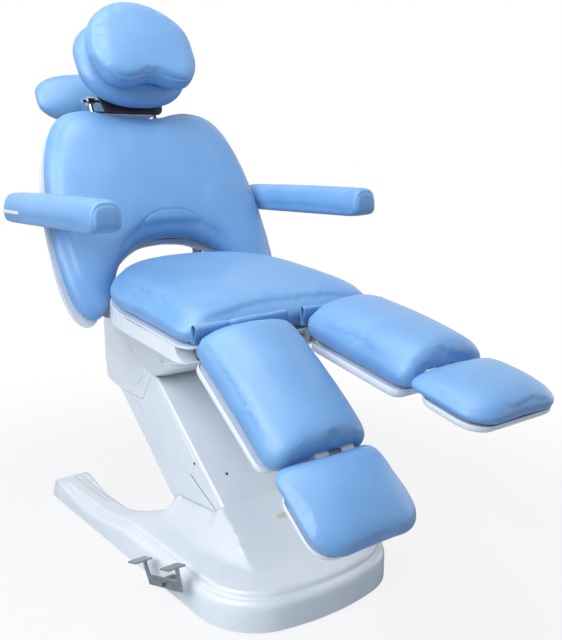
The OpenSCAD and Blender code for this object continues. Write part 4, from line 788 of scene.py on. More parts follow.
def oval_form(length, half_w, power, thick, seam, crown, top_power, under_power, cols, rows):
    """A cushion's form over an oval, whose two blunt tips are cut off by the seam."""
    return cushion_form(lambda x: -length / 2 * oval(x, half_w, power),
                        lambda x: length / 2 * oval(x, half_w, power),
                        0.985 * half_w, thick, seam, crown, top_power, under_power, cols, rows)


HEAD_FACE = IN_HEAD @ shift(0, HEAD_BACK - 0.3, HEAD_LOW + HEAD_LEN / 2) @ STAND_UP
cushion("head_cushion_cover", "head", HEAD_FACE,
        oval_form(HEAD_LEN, HEAD_HALF_W, 2.3, HEAD_THICK - 3, seam=44, crown=2, top_power=3.4,
                  under_power=3.6, cols=48, rows=40),
        voxel=5.5, cap=5, replaces="head_cushion")

# (share of the half width, share of the drop) along the pillow's lower edge, with its notch
PILLOW_STOPS = [[0, -0.55], [0.12, -0.6], [0.3, -0.95], [0.45, -1.15], [0.6, -1.1], [0.75, -0.65],
                [0.88, 0.4], [1, 2.4]]


def pillow_low(x):
    """The lower edge, a smooth line that dips beside the notch and rises to the tips."""
    return PILLOW_LOW + PILLOW_DROP * smooth_line(PILLOW_STOPS, np.minimum(1, np.abs(x) / PILLOW_HALF_W))


def pillow_high(x):
    """The upper edge: three tenths of the height straight, and an oval over it."""
    return PILLOW_H * (0.3 + 0.7 * oval(x, PILLOW_HALF_W, 2.0))


PILLOW_FACE = IN_HEAD @ shift(0, HEAD_BACK - HEAD_THICK - 0.6, 0) @ STAND_UP
neck_pillow = cushion("neck_pillow_cover", "head", PILLOW_FACE,
                      cushion_form(pillow_low, pillow_high, PILLOW_HALF_W, PILLOW_THICK - 2, seam=24, crown=8,
                                   top_power=12, under_power=12, cols=56, rows=48),
                      voxel=5, cap=5, replaces="neck_pillow")
pillow_outline = evenly(between_lines(pillow_low, pillow_high, PILLOW_HALF_W, 60), 160)
for inset, depth in ((6, 2.8), (14, 2.0)):
    press_seam(neck_pillow, PILLOW_FACE, closed(drawn_in(pillow_outline, inset)), depth, 2.6, front=26)
stitches("pillow_stitches", neck_pillow, PILLOW_FACE, closed(drawn_in(pillow_outline, 10)), "head", front=26)

board = rounded([[-88, HEAD_LOW + 12], [88, HEAD_LOW + 12], [110, 60], [80, 150], [-80, 150], [-110, 60]],
                [16, 16, 60, 60, 60, 60])
plate = moulding("head_board_plate", evenly(board, 140), [(3, 0), (0, 1.5), (0, 9), (3, 10.5)],
                 IN_HEAD @ shift(0, HEAD_BACK + 12, 0) @ STAND_UP, "head", BLACK, "fan")
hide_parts("head_board")

REAR_FACE = IN_BACK @ shift(0, REAR_BACK - 0.3, BACK_TOP + REAR_RISE) @ STAND_UP
cushion("rear_pad_cover", "back", REAR_FACE,
        oval_form(REAR_LEN, REAR_HALF_W, 2.6, REAR_THICK - 3, seam=40, crown=0, top_power=3.0,
                  under_power=3.4, cols=56, rows=36),
        voxel=5.5, cap=5, replaces="rear_pad")

# %% [markdown]
# ## The leg rests
# Each leg has a calf cushion and a foot cushion in white trays. They are strongly crowned, and
# the calf cushion is notched at its lower end for the two white knuckles of the foot hinge.

# %% Make the calf and foot cushions
CALF_HALF_W, CALF_THICK, CALF_CROWN = 127, 66, 32
FOOT_HALF_W, FOOT_LEN, FOOT_THICK, FOOT_CROWN = 137, 201, 30, 26
LEG_BOTTOM, FOOT_BOTTOM = 38 - CALF_THICK, 22 - FOOT_THICK - FOOT_AXIS_DROP
KNUCKLE_R, KNUCKLE_W, KNUCKLE_SPREAD, KNUCKLE_SHIFT, BRACKET_R = 16, 32, 33, 22, 11
PIN_ROOM_R, LUG_HALF_W = 13, 14
# The seat's two hinge lugs beside each leg rest's middle
LUG_OFFSETS = (44 - LEG_X, CALF_HALF_W - 44)
# Side view of the room that the lugs sweep below the cushion's top skin
LUG_SWEEP = [[-45, 0], [-42, -18], [-32, -32], [-18, -42], [0, -45], [20, -45], [20, 15], [-12, 15],
             [-24, 10]]


def knuckle_cutters(side, y, drop):
    """Room round both knuckles of a foot hinge, and round the bracket between them."""
    middle, half = -side * KNUCKLE_SHIFT, KNUCKLE_W / 2 - 1
    rods = [rod(KNUCKLE_R - 1, x - half, x + half, y, drop)
            for x in (middle - KNUCKLE_SPREAD, middle + KNUCKLE_SPREAD)]
    return rods + [rod(BRACKET_R, middle - KNUCKLE_SPREAD, middle + KNUCKLE_SPREAD, y, drop)]


for side, name in SIDE_NAME.items():
    place = in_leg(side)
    lugs = [slab(LUG_SWEEP, side * x - LUG_HALF_W, side * x + LUG_HALF_W) for x in LUG_OFFSETS]
    cutters = knuckle_cutters(side, -CALF_LEN, FOOT_AXIS_DROP) + lugs + [rod(PIN_ROOM_R, -200, 200)]
    calf = cushion_form(lambda x: -CALF_LEN - 3 + corner_rise(x, CALF_HALF_W, 34),
                        lambda x: 5 - corner_rise(x, CALF_HALF_W, 16),
                        CALF_HALF_W, CALF_THICK + 3, seam=0.4 * CALF_THICK, crown=CALF_CROWN - 4,
                        top_power=4.2, under_power=12, cols=44, rows=52, draw=1.5,
                        end_power=16, end_crown=0.72)
    cushion(f"{name}_calf_cover", f"{name}_leg", place @ shift(0, 0, LEG_BOTTOM), calf,
            [placed(c, place) for c in cutters], voxel=5.5, cap=7, replaces=f"{name}_calf_cushion")
    place = in_foot(side)
    foot = cushion_form(lambda x: -FOOT_LEN - 2.5 + corner_rise(x, FOOT_HALF_W, 66),
                        lambda x: 1 - corner_rise(x, FOOT_HALF_W, 34),
                        FOOT_HALF_W, FOOT_THICK, seam=0.4 * FOOT_THICK, crown=FOOT_CROWN - 2,
                        top_power=4.0, under_power=12, cols=44, rows=40, draw=2.5,
                        end_power=5, end_crown=0.3)
    cushion(f"{name}_foot_cover", f"{name}_foot", place @ shift(0, 0, FOOT_BOTTOM), foot,
            [placed(c, place) for c in knuckle_cutters(side, 0, 0)],
            voxel=5.5, cap=4, replaces=f"{name}_foot_cushion")

# %% [markdown]
# ## The arm rests
# An arm rest is a long padded bar that hinges beside the back. The cover is one tube of vinyl
# closed by an end panel, whose seam shows as a small round-topped outline on the front face. A
# black core stiffens it, and a white strip is let into its outer side near the hinge.

# %% Make the arm rests
ARM_X, ARM_HALF_W, ARM_H, ARM_FRONT, ARM_REAR, ARM_BASE = 370, 40, 62, 496, 22, -31
ARM_PIN_DEPTH, ARM_PIN_RISE = BACK_THICK + 21, 0.35 * BACK_TOP
ARM_LEAN, ARM_RAISE = -1.8, 3
arm_hinge = put([[0, ARM_PIN_DEPTH, ARM_PIN_RISE]], IN_BACK)[0]
for side, name in SIDE_NAME.items():
    body = f"{name}_armrest"
    place = shift(side * ARM_X, arm_hinge[1], arm_hinge[2] + ARM_RAISE) @ lean(ARM_LEAN)
    form = cushion_form(lambda x: -ARM_FRONT + corner_rise(x, ARM_HALF_W, 18),
                        lambda x: ARM_REAR - corner_rise(x, ARM_HALF_W, 18),
                        ARM_HALF_W, ARM_H + 9, seam=0.36 * ARM_H, crown=3, top_power=3.6,
                        under_power=26, cols=24, rows=90, draw=1.5, end_power=60)
    # The hinge pin enters from the inner side only
    cutters = [placed(rod(11, min(0, -60 * side), max(0, -60 * side)), place)]
    top_face = place @ shift(0, 0, ARM_BASE)
    pad = cushion(f"{body}_cover", body, top_face, form,
                  cutters, voxel=4.5, cap=3, replaces=f"{body}_pad")
    end_face = place @ shift(0, -ARM_FRONT, ARM_BASE) @ STAND_UP
    end_seam = evenly(rounded(box(-31, 9, 31, 60), [5, 5, 24, 24]), 60)
    press_seam(pad, end_face, closed(end_seam), 1.3, 2.2, front=-40)
    cross_seam = np.column_stack([np.linspace(-36, 36, 25), np.full(25, ARM_REAR - 112.0)])
    press_seam(pad, top_face, cross_seam, 1.2, 2.2, front=20)
    block = rounded(box(-26, -470, 26, 12), 12)
    core = moulding(f"{body}_block", block, [(1, 8), (0, 9), (0, 35), (1, 36)], top_face, body,
                    BLACK)
    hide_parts(f"{body}_core")
    strip = evenly(rounded(box(ARM_REAR - 118, 22, ARM_REAR - 18, 30), 2), 60)
    outer = top_face @ mirrored(side) @ shift(ARM_HALF_W - 1, 0, 0) @ SIDEWAYS
    moulding(f"{body}_strip", strip, [(2, -3), (0, -3), (0, 1.6), (0.8, 2.2), (2, 2.4)], outer, body)

# %% [markdown]
# ## The trays and the rear shell
# Each cushion sits in a tray moulded in white plastic. A tray is a closed outline, carried
# down its wall with a little draft and round a soft lower edge, as a vacuum-formed part has.
# The rear shell of the back is a dish of the cushion's own outline, a few millimetres smaller.

# %% Make the trays of the leg rests and the back's rear shell
TRAY_GAP, SHELL_DEPTH, SHELL_MARGIN = 0.3, 41.5, 5
LUG_ROOM_R, LUG_ROOM_HALF_W = 64, 7


def tray_section(depth, radius):
    """The wall of a tray, from its hidden lip down the drafted side and round the lower edge."""
    inset, drop = quarter(radius)
    return ([(4.0, -2.5), (3.0, -0.8), (1.6, 0.0), (0.5, -0.4), (0.0, -1.6)]
            + [(0.6 + i, d - depth) for i, d in zip(inset[::-1], drop[::-1])])


def tray(body, hinge, half_w, length, corner, start, bottom, depth, edge):
    """A tray that starts behind its hinge line, with these corners in plan and this rounded edge."""
    outline = evenly(rounded(box(-half_w, -length / 2, half_w, length / 2), corner), 160)
    made = moulding(f"{body}_tray", outline, tray_section(depth, edge),
                    hinge @ shift(0, -start - length / 2, bottom - TRAY_GAP), body)
    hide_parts(f"{body}_shell")
    return made


for side, name in SIDE_NAME.items():
    leg_tray = tray(f"{name}_leg", in_leg(side), 125, CALF_LEN - 40, corner=26, start=22,
                    bottom=LEG_BOTTOM, depth=20, edge=9)
    lugs = [rod(LUG_ROOM_R, side * x - LUG_ROOM_HALF_W, side * x + LUG_ROOM_HALF_W) for x in LUG_OFFSETS]
    carve(leg_tray, [placed(lug, in_leg(side)) for lug in lugs])
    shade(leg_tray.data, 40)
    tray(f"{name}_foot", in_foot(side), 131, FOOT_LEN - 34, corner=50, start=26,
         bottom=FOOT_BOTTOM, depth=15, edge=8)

shell_half_w = BACK_HALF_W - SHELL_MARGIN
points, faces = cushion_form(lambda x: back_under(x, shell_half_w) - 9 * (np.abs(x) / shell_half_w) ** 2,
                             lambda x: back_top(x, shell_half_w) - 6, shell_half_w, SHELL_DEPTH,
                             seam=SHELL_DEPTH - 0.2, crown=0, top_power=9, under_power=9, cols=96, rows=64,
                             draw=0.5)
back_shell = piece_from("back_rear_shell", put(points, BACK_FACE @ shift(0, 0, -SHELL_DEPTH - 0.4)), faces,
                        PLASTIC, "back")
# A slot for the back motor's ram, which pushes on the crank inside the left lobe
ram_room = slab(box(BACK_THICK + 3, -178, BACK_THICK + 63, 40), 114, 168)
carve(back_shell, [placed(ram_room, IN_BACK)])
shade(back_shell.data, 40)
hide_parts("back_shell")
seat_plan = evenly(between_lines(seat_low, seat_high, SEAT_HALF_W, 90), 260)
moulding("seat_rim", evenly(drawn_in(seat_plan, 6), 240),
         [(0.6, -4), (0, -3), (0, -0.1), (0.8, 0.5), (2, 0.7), (26, 0.7)], IN_SEAT, "seat", capped=False)
print("trays, rear shell and seat rim made")

# %% [markdown]
# ## The column and the carrier cover
# A box-shaped cover hides the lift arm. Its sides have a raised panel whose edge runs parallel
# to the rear and sweeps forward at the foot. The carrier cover above it has two nested raised
# panels with round lower edges. Both are side views carried across the chair, with their long
# edges rounded, and the panels are thin mouldings on their sides.

# %% Make the column and carrier covers
UPPER_Y = ARM_LEN * np.cos(np.radians(ARM_TILT))
UPPER_Z = PIVOT_Z + ARM_LEN * np.sin(np.radians(ARM_TILT))
COLUMN_HALF_W, COLUMN_HALF_D, COLUMN_EDGE = 102, 99, 9
CARRIER_HALF_W, CARRIER_EDGE = COLUMN_HALF_W + 6, 8
CARRIER_TOP, CARRIER_LOW, CARRIER_REAR = UPPER_Z + 117, UPPER_Z - 98, UPPER_Y + 109
COVER_WALL = 3


def across_chair(half_w, radius):
    """Section of a part carried across the chair between -half_w and half_w, with rounded rims."""
    inset, drop = quarter(radius)
    rim = list(zip(inset, drop))
    return ([(radius + 3, -half_w)] + [(i, -half_w + h) for i, h in rim]
            + [(i, half_w - h) for i, h in rim[::-1]] + [(radius + 3, half_w)])


def open_up(piece, place, gone):
    """Takes away the faces whose middle, in the place's drawing, answers to gone, and gives the
    rest its wall."""
    edit = bmesh.new()
    edit.from_mesh(piece.data)
    middles = taken_back(np.array([f.calc_center_median() for f in edit.faces]) / MM, place)
    lost = [face for face, out in zip(list(edit.faces), gone(middles)) if out]
    bmesh.ops.delete(edit, geom=lost, context="FACES")
    edit.to_mesh(piece.data)
    edit.free()
    wall = piece.modifiers.new("wall", "SOLIDIFY")
    wall.thickness, wall.offset = COVER_WALL * MM, -1


def side_panels(name, outline, section, place, half_w, body):
    """The same thin panel on both sides of a cover."""
    for side, side_name in SIDE_NAME.items():
        moulding(f"{name}_{side_name}", outline, section,
                 mirrored(side) @ place @ shift(half_w, 0, 0) @ SIDEWAYS, body)


def column_gone(p):
    """The wall between the two sides, where it is inside the base and at the top end."""
    foot, top = (p[:, 1] < 58) & (p[:, 2] < 40), p[:, 1] > ARM_LEN - 38
    return (np.abs(p[:, 0]) < COLUMN_HALF_W - COLUMN_EDGE) & (foot | top)


def carrier_gone(p):
    """The wall between the two sides, but for the rear."""
    return (np.abs(p[:, 0]) < CARRIER_HALF_W - CARRIER_EDGE) & (p[:, 1] < UPPER_Y + 96)


turn = np.radians(np.arange(125, 89, -5))
foot_arc = COLUMN_HALF_D * np.column_stack([np.cos(turn), np.sin(turn)])
straight = [[ARM_LEN - 40, COLUMN_HALF_D], [ARM_LEN + 17, -COLUMN_HALF_D], [60, -COLUMN_HALF_D], [0, -30]]
column_side = evenly(rounded(np.vstack([foot_arc, straight]), [0.1] * len(turn) + [8, 8, 30, 20]), 200)
column = moulding("column_cover_shell", column_side, across_chair(COLUMN_HALF_W, COLUMN_EDGE),
                  IN_ARM @ SIDEWAYS, "arm", capped="fan")
open_up(column, IN_ARM, column_gone)
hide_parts("column_cover")
panel = rounded([[150, 84], [ARM_LEN - 50, 84], [ARM_LEN + 8, -36], [250, -38], [185, -8], [128, 40]],
                [18, 10, 12, 90, 90, 30])
side_panels("column_panel", evenly(panel, 150),
            [(4, -0.5), (0, -0.5), (0, 0.3), (0.5, 0.8), (1.4, 1.0), (4, 1.0)], IN_ARM, COLUMN_HALF_W, "arm")

carrier_side = evenly(rounded([[UPPER_Y - 122, CARRIER_TOP], [UPPER_Y - 156, UPPER_Z - 22],
                               [UPPER_Y - 104, CARRIER_LOW], [UPPER_Y + 10, CARRIER_LOW],
                               [CARRIER_REAR, CARRIER_LOW + 16], [CARRIER_REAR, CARRIER_TOP]],
                              [4, 22, 20, 40, 30, 4]), 220)
carrier = moulding("carrier_cover_shell", carrier_side, across_chair(CARRIER_HALF_W, CARRIER_EDGE),
                   SIDEWAYS, "carrier", capped="fan")
open_up(carrier, np.eye(4), carrier_gone)
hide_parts("carrier_cover")
rear, top = CARRIER_REAR - 4, CARRIER_TOP - 4
for number, (low, front, lift) in enumerate([(380, 306, 0.0), (452, 326, 1.2)]):
    outline = rounded([[rear, top], [rear, low + 26], [CARRIER_REAR - 70, low], [front + 46, low],
                       [front, low + 50], [front, top]], [3, 30, 60, 60, 60, 3])
    section = [(6, -0.5), (0, -0.5), (0, 0.8 + lift), (0.6, 1.6 + lift), (1.6, 2 + lift), (6, 2 + lift)]
    side_panels(f"carrier_panel_{number}", evenly(outline, 160), section, np.eye(4), CARRIER_HALF_W,
                "carrier")
print("column and carrier made")

# %% [markdown]
# ## The base
# The base is one large moulding: a skirt with a rolled shoulder, a step up to the deck, two low
# prongs to the rear, and a housing that sweeps up from the nose to the foot of the column. The
# skirt is a stack of rings over the plan's outline, and its height follows the deck. The deck
# and the housing are one height drawn over the plan, filled with triangles by a Delaunay mesh
# whose hole is the opening for the column.

# %% Draw the base
BASE_HALF_W, BASE_REAR, BAY_HALF_W, BAY_FRONT, BAY_R = 257, 621, 158, 195, 75
DECK_H, PRONG_H, FLOOR_GAP, RAMP_START, RAMP_END, PRONG_NOSE = 90, 62, 3, 135, 330, 32
CHANNEL_DEPTH, WELL_DEPTH, BASE_WALL = 6, 16, 4
NOSE_R, NOSE_Y, CORNER_R, CORNER_X, CORNER_Y = 600, 236, 158, 99, -194.8
OPENING_HALF_W, OPENING_FRONT, OPENING_REAR = 104, -62, 150
HOUSING_HALF_W, HOUSING_FRONT, RIDGE_TOP, CHEEK_REAR = 112, -248, -61, 158


def arc(x, y, r, start, stop, steps=14):
    """Points of an arc, its angle counted from the chair's forward direction towards +X."""
    a = np.radians(np.linspace(start, stop, steps))
    return np.column_stack([x + r * np.sin(a), y - r * np.cos(a)])


def line(x0, y0, x1, y1, steps):
    """Points inside a straight line, without its two ends."""
    return np.column_stack([np.linspace(x0, x1, steps + 2), np.linspace(y0, y1, steps + 2)])[1:-1]


def base_ring(inset):
    """The base's plan drawn in by inset. Each outer arc loses the inset from its radius and the
    bay's arcs gain it, so every ring has the same points in the same places and none crosses
    itself."""
    turn = np.degrees(np.arcsin(CORNER_X / (NOSE_R - CORNER_R)))
    w, rear, bay, front = BASE_HALF_W - inset, BASE_REAR - inset, BAY_HALF_W + inset, BAY_FRONT - inset
    r = max(10 - 0.3 * inset, 0.5)
    half = np.vstack([arc(0, NOSE_Y, NOSE_R - inset, 0, turn, 22),
                      arc(CORNER_X, CORNER_Y, CORNER_R - inset, turn, 90, 34)[1:],
                      line(w, CORNER_Y, w, rear - r, 110), arc(w - r, rear - r, r, 90, 180, 6),
                      line(w - r, rear, bay + r, rear, 10), arc(bay + r, rear - r, r, 180, 270, 6),
                      line(bay, rear - r, bay, BAY_FRONT + BAY_R, 44),
                      arc(BAY_HALF_W - BAY_R, BAY_FRONT + BAY_R, BAY_R + inset, 90, 0, 16),
                      line(BAY_HALF_W - BAY_R, front, 0, front, 10), [[0.0, front]]])
    return np.vstack([half, (half * [-1, 1])[-2:0:-1]])


def step(x, low, high):
    """A smooth step from 0 at low to 1 at high: t t (3 - 2 t)."""
    t = np.clip((x - low) / (high - low), 0, 1)
    return t * t * (3 - 2 * t)


def deck_height(x, y):
    """Deck, ramp and prongs along Y, cut by the sloping prong ends, with a shallow channel along
    each prong, and lowered behind the column's opening."""
    across = np.abs(x)
    height = DECK_H - (DECK_H - PRONG_H) * step(y, RAMP_START, RAMP_END)
    slope = (PRONG_H - FLOOR_GAP - 1) / PRONG_NOSE
    height = np.minimum(height, PRONG_H - (y - BASE_REAR + PRONG_NOSE) * slope)
    channel = step(across, 166, 170) * (1 - step(across, 199, 204))
    channel = CHANNEL_DEPTH * channel * step(y, RAMP_END, 420) * (1 - step(y, 566, 572))
    well = 1 - step(across, OPENING_HALF_W - 3, OPENING_HALF_W + 10)
    well = WELL_DEPTH * well * step(y, 120, 140) * (1 - step(y, 230, 260))
    return np.maximum(height - channel - well, FLOOR_GAP + 1)


# (Y, height) along the housing's ridge, and along the cheeks beside the column
HOUSING_STOPS = [[-248, 90], [-215, 98], [-190, 110.5], [-141, 140.8], [-94, 163], [-61, 178]]
CHEEK_STOPS = [[-61, 177], [-25, 152], [40, 143], [110, 136], [148, 125], [158, 70]]


def housing_height(x, y):
    """The housing above the deck: its ridge line along Y, held over its half width and then let
    down in a hollow curve, (1 - t) to a power, over a flare that is wide beside the column and
    narrow at the nose."""
    across = np.abs(x)
    ridge = np.where(y < RIDGE_TOP, smooth_line(HOUSING_STOPS, np.clip(y, HOUSING_FRONT, RIDGE_TOP)),
                     smooth_line(CHEEK_STOPS, np.clip(y, RIDGE_TOP, CHEEK_REAR)))
    beside = (across > OPENING_HALF_W - 2) | (y < OPENING_REAR - 4)
    rise = np.maximum(0, ridge - deck_height(x, y)) * (y > HOUSING_FRONT) * (y < CHEEK_REAR - 1) * beside
    flare = 16 + 62 * step(y, -235, -60)
    waist = HOUSING_HALF_W + 22 * step(-y, 60, 235)
    return rise * (1 - np.clip((across - waist) / flare, 0, 1)) ** 2.2


def base_top(x, y):
    """The deck and the housing together."""
    return deck_height(x, y) + housing_height(x, y)


# %% Build the base's skirt and top
# (how far the ring is drawn in, height over the floor gap) below the foot of the wall
SKIRT_FOOT = [(2.0, 0.0), (0.0, 1.5)]
# (how far the ring is drawn in, height over the deck's edge) up the wall, over the ledge, to the deck
SKIRT_WALL = [(0.0, -36), (0.6, -29), (2.4, -23), (5.6, -18.6), (10, -16), (15, -15.2), (17.5, -14.4),
              (19, -12), (20, -7.5), (21.4, -3.6), (24, -1.2), (28, -0.2), (32, 0)]


def skirt_ring(inset, offset, on_deck):
    """One ring of the skirt. The ledge fades out along the prongs, and no ring stands over the deck."""
    plan = base_ring(inset)
    deck = deck_height(plan[:, 0], plan[:, 1])
    fade = 1 - step(plan[:, 1], 430, BASE_REAR - 34)
    height = np.maximum(FLOOR_GAP + 0.2, deck + offset * fade) if on_deck else FLOOR_GAP + offset
    return np.column_stack([plan, np.minimum(height, np.maximum(deck, FLOOR_GAP))])


def raster(x0, x1, y0, y1, pitch_x, pitch_y):
    """Points of a plain grid over the plan."""
    x, y = np.meshgrid(np.arange(x0, x1, pitch_x), np.arange(y0, y1, pitch_y), indexing="ij")
    return np.stack([x, y], -1).reshape(-1, 2)


def inside(points, outline):
    """Which points lie inside a closed outline: how often a ray along +X crosses it, odd or even."""
    a, b = outline, np.roll(outline, -1, 0)
    y = points[:, 1][:, None]
    crosses = (a[:, 1] > y) != (b[:, 1] > y)
    slope = np.where(b[:, 1] == a[:, 1], 1e-9, b[:, 1] - a[:, 1])
    at = a[:, 0] + (y - a[:, 1]) * (b[:, 0] - a[:, 0]) / slope
    return ((crosses & (points[:, 0][:, None] < at)).sum(1) % 2) == 1


def loop_edges(count, first):
    """The edges of a closed loop of count points, numbered from first."""
    return [(first + i, first + (i + 1) % count) for i in range(count)]


rings = [skirt_ring(inset, offset, False) for inset, offset in SKIRT_FOOT]
rings += [skirt_ring(inset, offset, True) for inset, offset in SKIRT_WALL]
skirt_points, skirt_faces = loft(np.array(rings), capped=False)
rim = rings[-1][:, :2]
hole = evenly(rounded(box(-OPENING_HALF_W, OPENING_FRONT, OPENING_HALF_W, OPENING_REAR), 4), 160)

# A fine grid round the housing, a coarse one over the deck, and a fine one over each channel
fine = raster(-216, 217, -300, 176, 6.0, 6.0)
coarse = raster(-240, 241, -340, 600, 12.0, 12.0)
prong = raster(162, 214, 326, 580, 4.0, 8.0)
far_x, y = np.abs(coarse[:, 0]), coarse[:, 1]
off_housing = (far_x > 218) | (y > 178) | (y < -303)
off_channel = (far_x < 158) | (far_x > 218) | (y < 320) | (y > 584)
grid = np.vstack([fine, coarse[off_housing & off_channel], prong, prong * [-1, 1]])
grid = grid[inside(grid, base_ring(34)) & ~inside(grid, drawn_in(hole, -3))]

flat = np.vstack([rim, hole, grid])
edges = loop_edges(len(rim), 0) + loop_edges(len(hole), len(rim))
made = delaunay_2d_cdt([tuple(p) for p in flat.tolist()], edges, [], 0, 1e-4)
flat = np.array([tuple(p) for p in made[0]])
triangles = np.array([f for f in made[2] if len(f) == 3])
middle = flat[triangles].mean(1)
triangles = triangles[inside(middle, rim) & ~inside(middle, hole)]
top_points = np.column_stack([flat, base_top(flat[:, 0], flat[:, 1])])
brim = base_top(hole[:, 0], hole[:, 1])
wall_rings = np.array([np.column_stack([hole, brim - drop]) for drop in (0, 3, 60)])
wall_rings[1:, :, :2] = drawn_in(hole, -1.5)
wall_points, wall_faces = loft(wall_rings, capped=False)
count_a, count_b = len(skirt_points), len(skirt_points) + len(top_points)
faces = skirt_faces + (triangles + count_a).tolist() + [[i + count_b for i in f] for f in wall_faces]
base = piece_from("base_moulding", np.vstack([skirt_points, top_points, wall_points]), faces, PLASTIC,
                  "base", smooth=50)
# An open mesh may come out inside out, so its deck has to face upwards
if np.array([p.normal[2] for p in base.data.polygons if p.center[2] > 0.08]).mean() < 0:
    base.data.flip_normals()
wall = base.modifiers.new("wall", "SOLIDIFY")
wall.thickness, wall.offset = BASE_WALL * MM, -1
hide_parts("base_shell")
print("base", len(base.data.polygons), "faces")

# %% [markdown]
# ## The flaps between the seat and the leg rests
# A strip of the cover vinyl bridges the gap in front of the seat. It is sewn to the seat's
# front edge, stands up in a loose fold, and tucks down in front of the leg rest's hinge. Seen
# from the end it is an open loop. It is a sheet of cloth, so it is one thin curved surface.

# %% Make the flaps
FOLD_W, FOLD_ROWS, FOLD_COLS, FOLD_THICK, FOLD_FOOT = 246, 45, 61, 1.1, -16
CLIMB, ROUND = 0.36, 0.28


def flap_sheet(side):
    """A standing fold: one leg climbs the seat's front, a half round crosses the top, and the other
    leg falls to the calf cushion. s runs over the fold and u across it. Two bell curves over u
    lower and crease the fold, and it is rounder at one end than at the other."""
    s = np.linspace(0, 1, FOLD_ROWS)[:, None]
    u = np.linspace(0, 1, FOLD_COLS)[None, :]
    near = u if side < 0 else 1 - u
    crease = np.exp(-((near - 0.36) / 0.05) ** 2) + 0.5 * np.exp(-((near - 0.78) / 0.06) ** 2)
    height = 25 + 4 * near - 3 * crease
    radius = (9.5 - 3.5 * near) * (1 - 0.35 * crease)
    turn = np.pi * np.clip((s - CLIMB) / ROUND, 0, 1)
    up = np.clip(s / CLIMB, 0, 1)
    down = np.clip((s - CLIMB - ROUND) / CLIMB, 0, 1)
    fallen = s > CLIMB + ROUND
    y = radius * (np.cos(turn) - 1) * ~fallen + 3 * (1 - np.cos(np.pi * up)) / 2
    y = y - fallen * (2 * radius - (2 * radius - 6) * np.sin(np.pi * down / 2) ** 2 * 0.75)
    z = FOLD_FOOT + (height - radius - FOLD_FOOT) * np.where(s < 0.5, up, 1 - down) + radius * np.sin(turn)
    x = side * LEG_X + (u - 0.5) * FOLD_W + 0 * s
    return np.stack([x, y, z], -1)


for side, name in SIDE_NAME.items():
    points = flap_sheet(side)
    flap = piece_from(f"{name}_fold", put(points.reshape(-1, 3), shift(0, -197, LEG_Z + 14)),
                      grid_faces(FOLD_ROWS, FOLD_COLS), VINYL, None, smooth=80, outward=False)
    thick = flap.modifiers.new("thick", "SOLIDIFY")
    thick.thickness, thick.offset = FOLD_THICK * MM, 0
    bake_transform(flap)
    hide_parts(f"{name}_flap")
print("flaps made")

# %% [markdown]
# ## Floor, light and background
# A plain pale floor keeps the chair's shadow. The background is white because the world and the
# floor say so to the camera alone, so it puts no extra light on the chair. One large lamp stands
# on the left, a wide one above, and two weak ones fill from the right and from the front.

# %% Set the stage
FLOOR_HALF_W = 30000
LAMP_SIZE = 2.0
# Each lamp's place, the height it looks at over the chair's middle, its power and its tint
LAMPS = {"left_lamp": ((-2.7, -0.5, 2.45), 0.6, 88, "#ffffff"),
         "top_lamp": ((-0.4, -0.2, 3.4), 0.6, 52, "#ffffff"),
         "right_fill": ((3.2, -0.7, 0.7), 0.4, 18, "#f0f4ff"),
         "front_fill": ((-1.8, -3.2, 1.8), 0.8, 3, "#f4f6ff")}


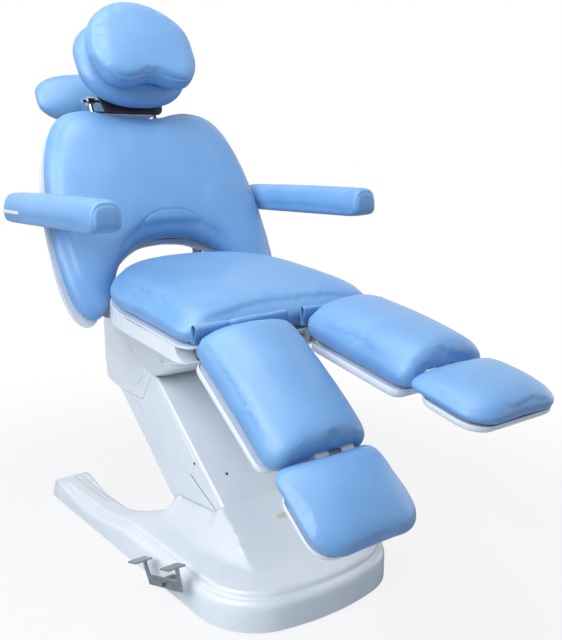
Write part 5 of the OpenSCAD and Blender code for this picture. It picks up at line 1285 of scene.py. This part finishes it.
def stage_floor():
    """A wide flat floor whose colour, and a white glow seen by the camera alone, keep it pale. The
    glow's share grows with the distance from the chair, so the shadow near it stays."""
    material, tree, place = finish_of("pale_floor", Base_Color=linear("#c6cad2"), Roughness=0.9)
    corners = [[x, y, 0] for x, y in box(-FLOOR_HALF_W, -FLOOR_HALF_W, FLOOR_HALF_W, FLOOR_HALF_W)]
    floor = piece_from("floor", corners, [[0, 1, 2, 3]], material, None, outward=False)
    far = add(tree, "ShaderNodeVectorMath", {"operation": "LENGTH"}, "Value", _0=place)
    fade = add(tree, "ShaderNodeMapRange", {"interpolation_type": "SMOOTHSTEP"}, Value=far,
               From_Min=0.8, From_Max=1.9, To_Min=0.85, To_Max=1.0)
    share = add(tree, "ShaderNodeMath", {"operation": "MULTIPLY"}, _1=fade,
                _0=add(tree, "ShaderNodeLightPath", out="Is Camera Ray"))
    mix = add(tree, "ShaderNodeMixShader", Fac=share, _1=tree.nodes["Principled BSDF"].outputs[0],
              _2=add(tree, "ShaderNodeEmission", Color=(1, 1, 1, 1), Strength=1.0))
    tree.links.new(mix, tree.nodes["Material Output"].inputs["Surface"])


def studio_world():
    """A dim blue-white sky for the light, and plain white for what is seen through or mirrored."""
    world = bpy.data.worlds.new("studio")
    bpy.context.scene.world = world
    world.use_nodes = True
    tree = world.node_tree
    soft = tree.nodes["Background"]
    soft.inputs["Color"].default_value, soft.inputs["Strength"].default_value = linear("#dde9f8"), 0.28
    seen = add(tree, "ShaderNodeLightPath", out="Is Camera Ray")
    for kind in ("Is Transmission Ray", "Is Glossy Ray"):
        seen = add(tree, "ShaderNodeMath", {"operation": "MAXIMUM"}, _0=seen,
                   _1=add(tree, "ShaderNodeLightPath", out=kind))
    mix = add(tree, "ShaderNodeMixShader", Fac=seen, _1=soft.outputs[0],
              _2=add(tree, "ShaderNodeBackground", Color=(1, 1, 1, 1), Strength=1.0))
    tree.links.new(mix, tree.nodes["World Output"].inputs["Surface"])


def area_lamp(name, at, height, power, tint):
    """A square lamp that faces the chair's middle at that height."""
    lamp = bpy.data.lights.new(name, "AREA")
    lamp.shape, lamp.size, lamp.energy, lamp.color = "SQUARE", LAMP_SIZE, power, linear(tint)[:3]
    holder = bpy.data.objects.new(name, lamp)
    bpy.context.scene.collection.objects.link(holder)
    back = np.array(at, float) - np.array([0, 0, height])
    back /= np.linalg.norm(back)
    side = np.cross([0, 0, 1.0], back)
    side /= np.linalg.norm(side)
    turn = np.eye(4)
    turn[:3, 0], turn[:3, 1], turn[:3, 2], turn[:3, 3] = side, np.cross(back, side), back, at
    holder.matrix_world = turn.T.tolist()


stage_floor()
studio_world()
for name, (at, height, power, tint) in LAMPS.items():
    area_lamp(name, at, height, power, tint)
bpy.context.scene.view_settings.view_transform = "Standard"
print("stage set")
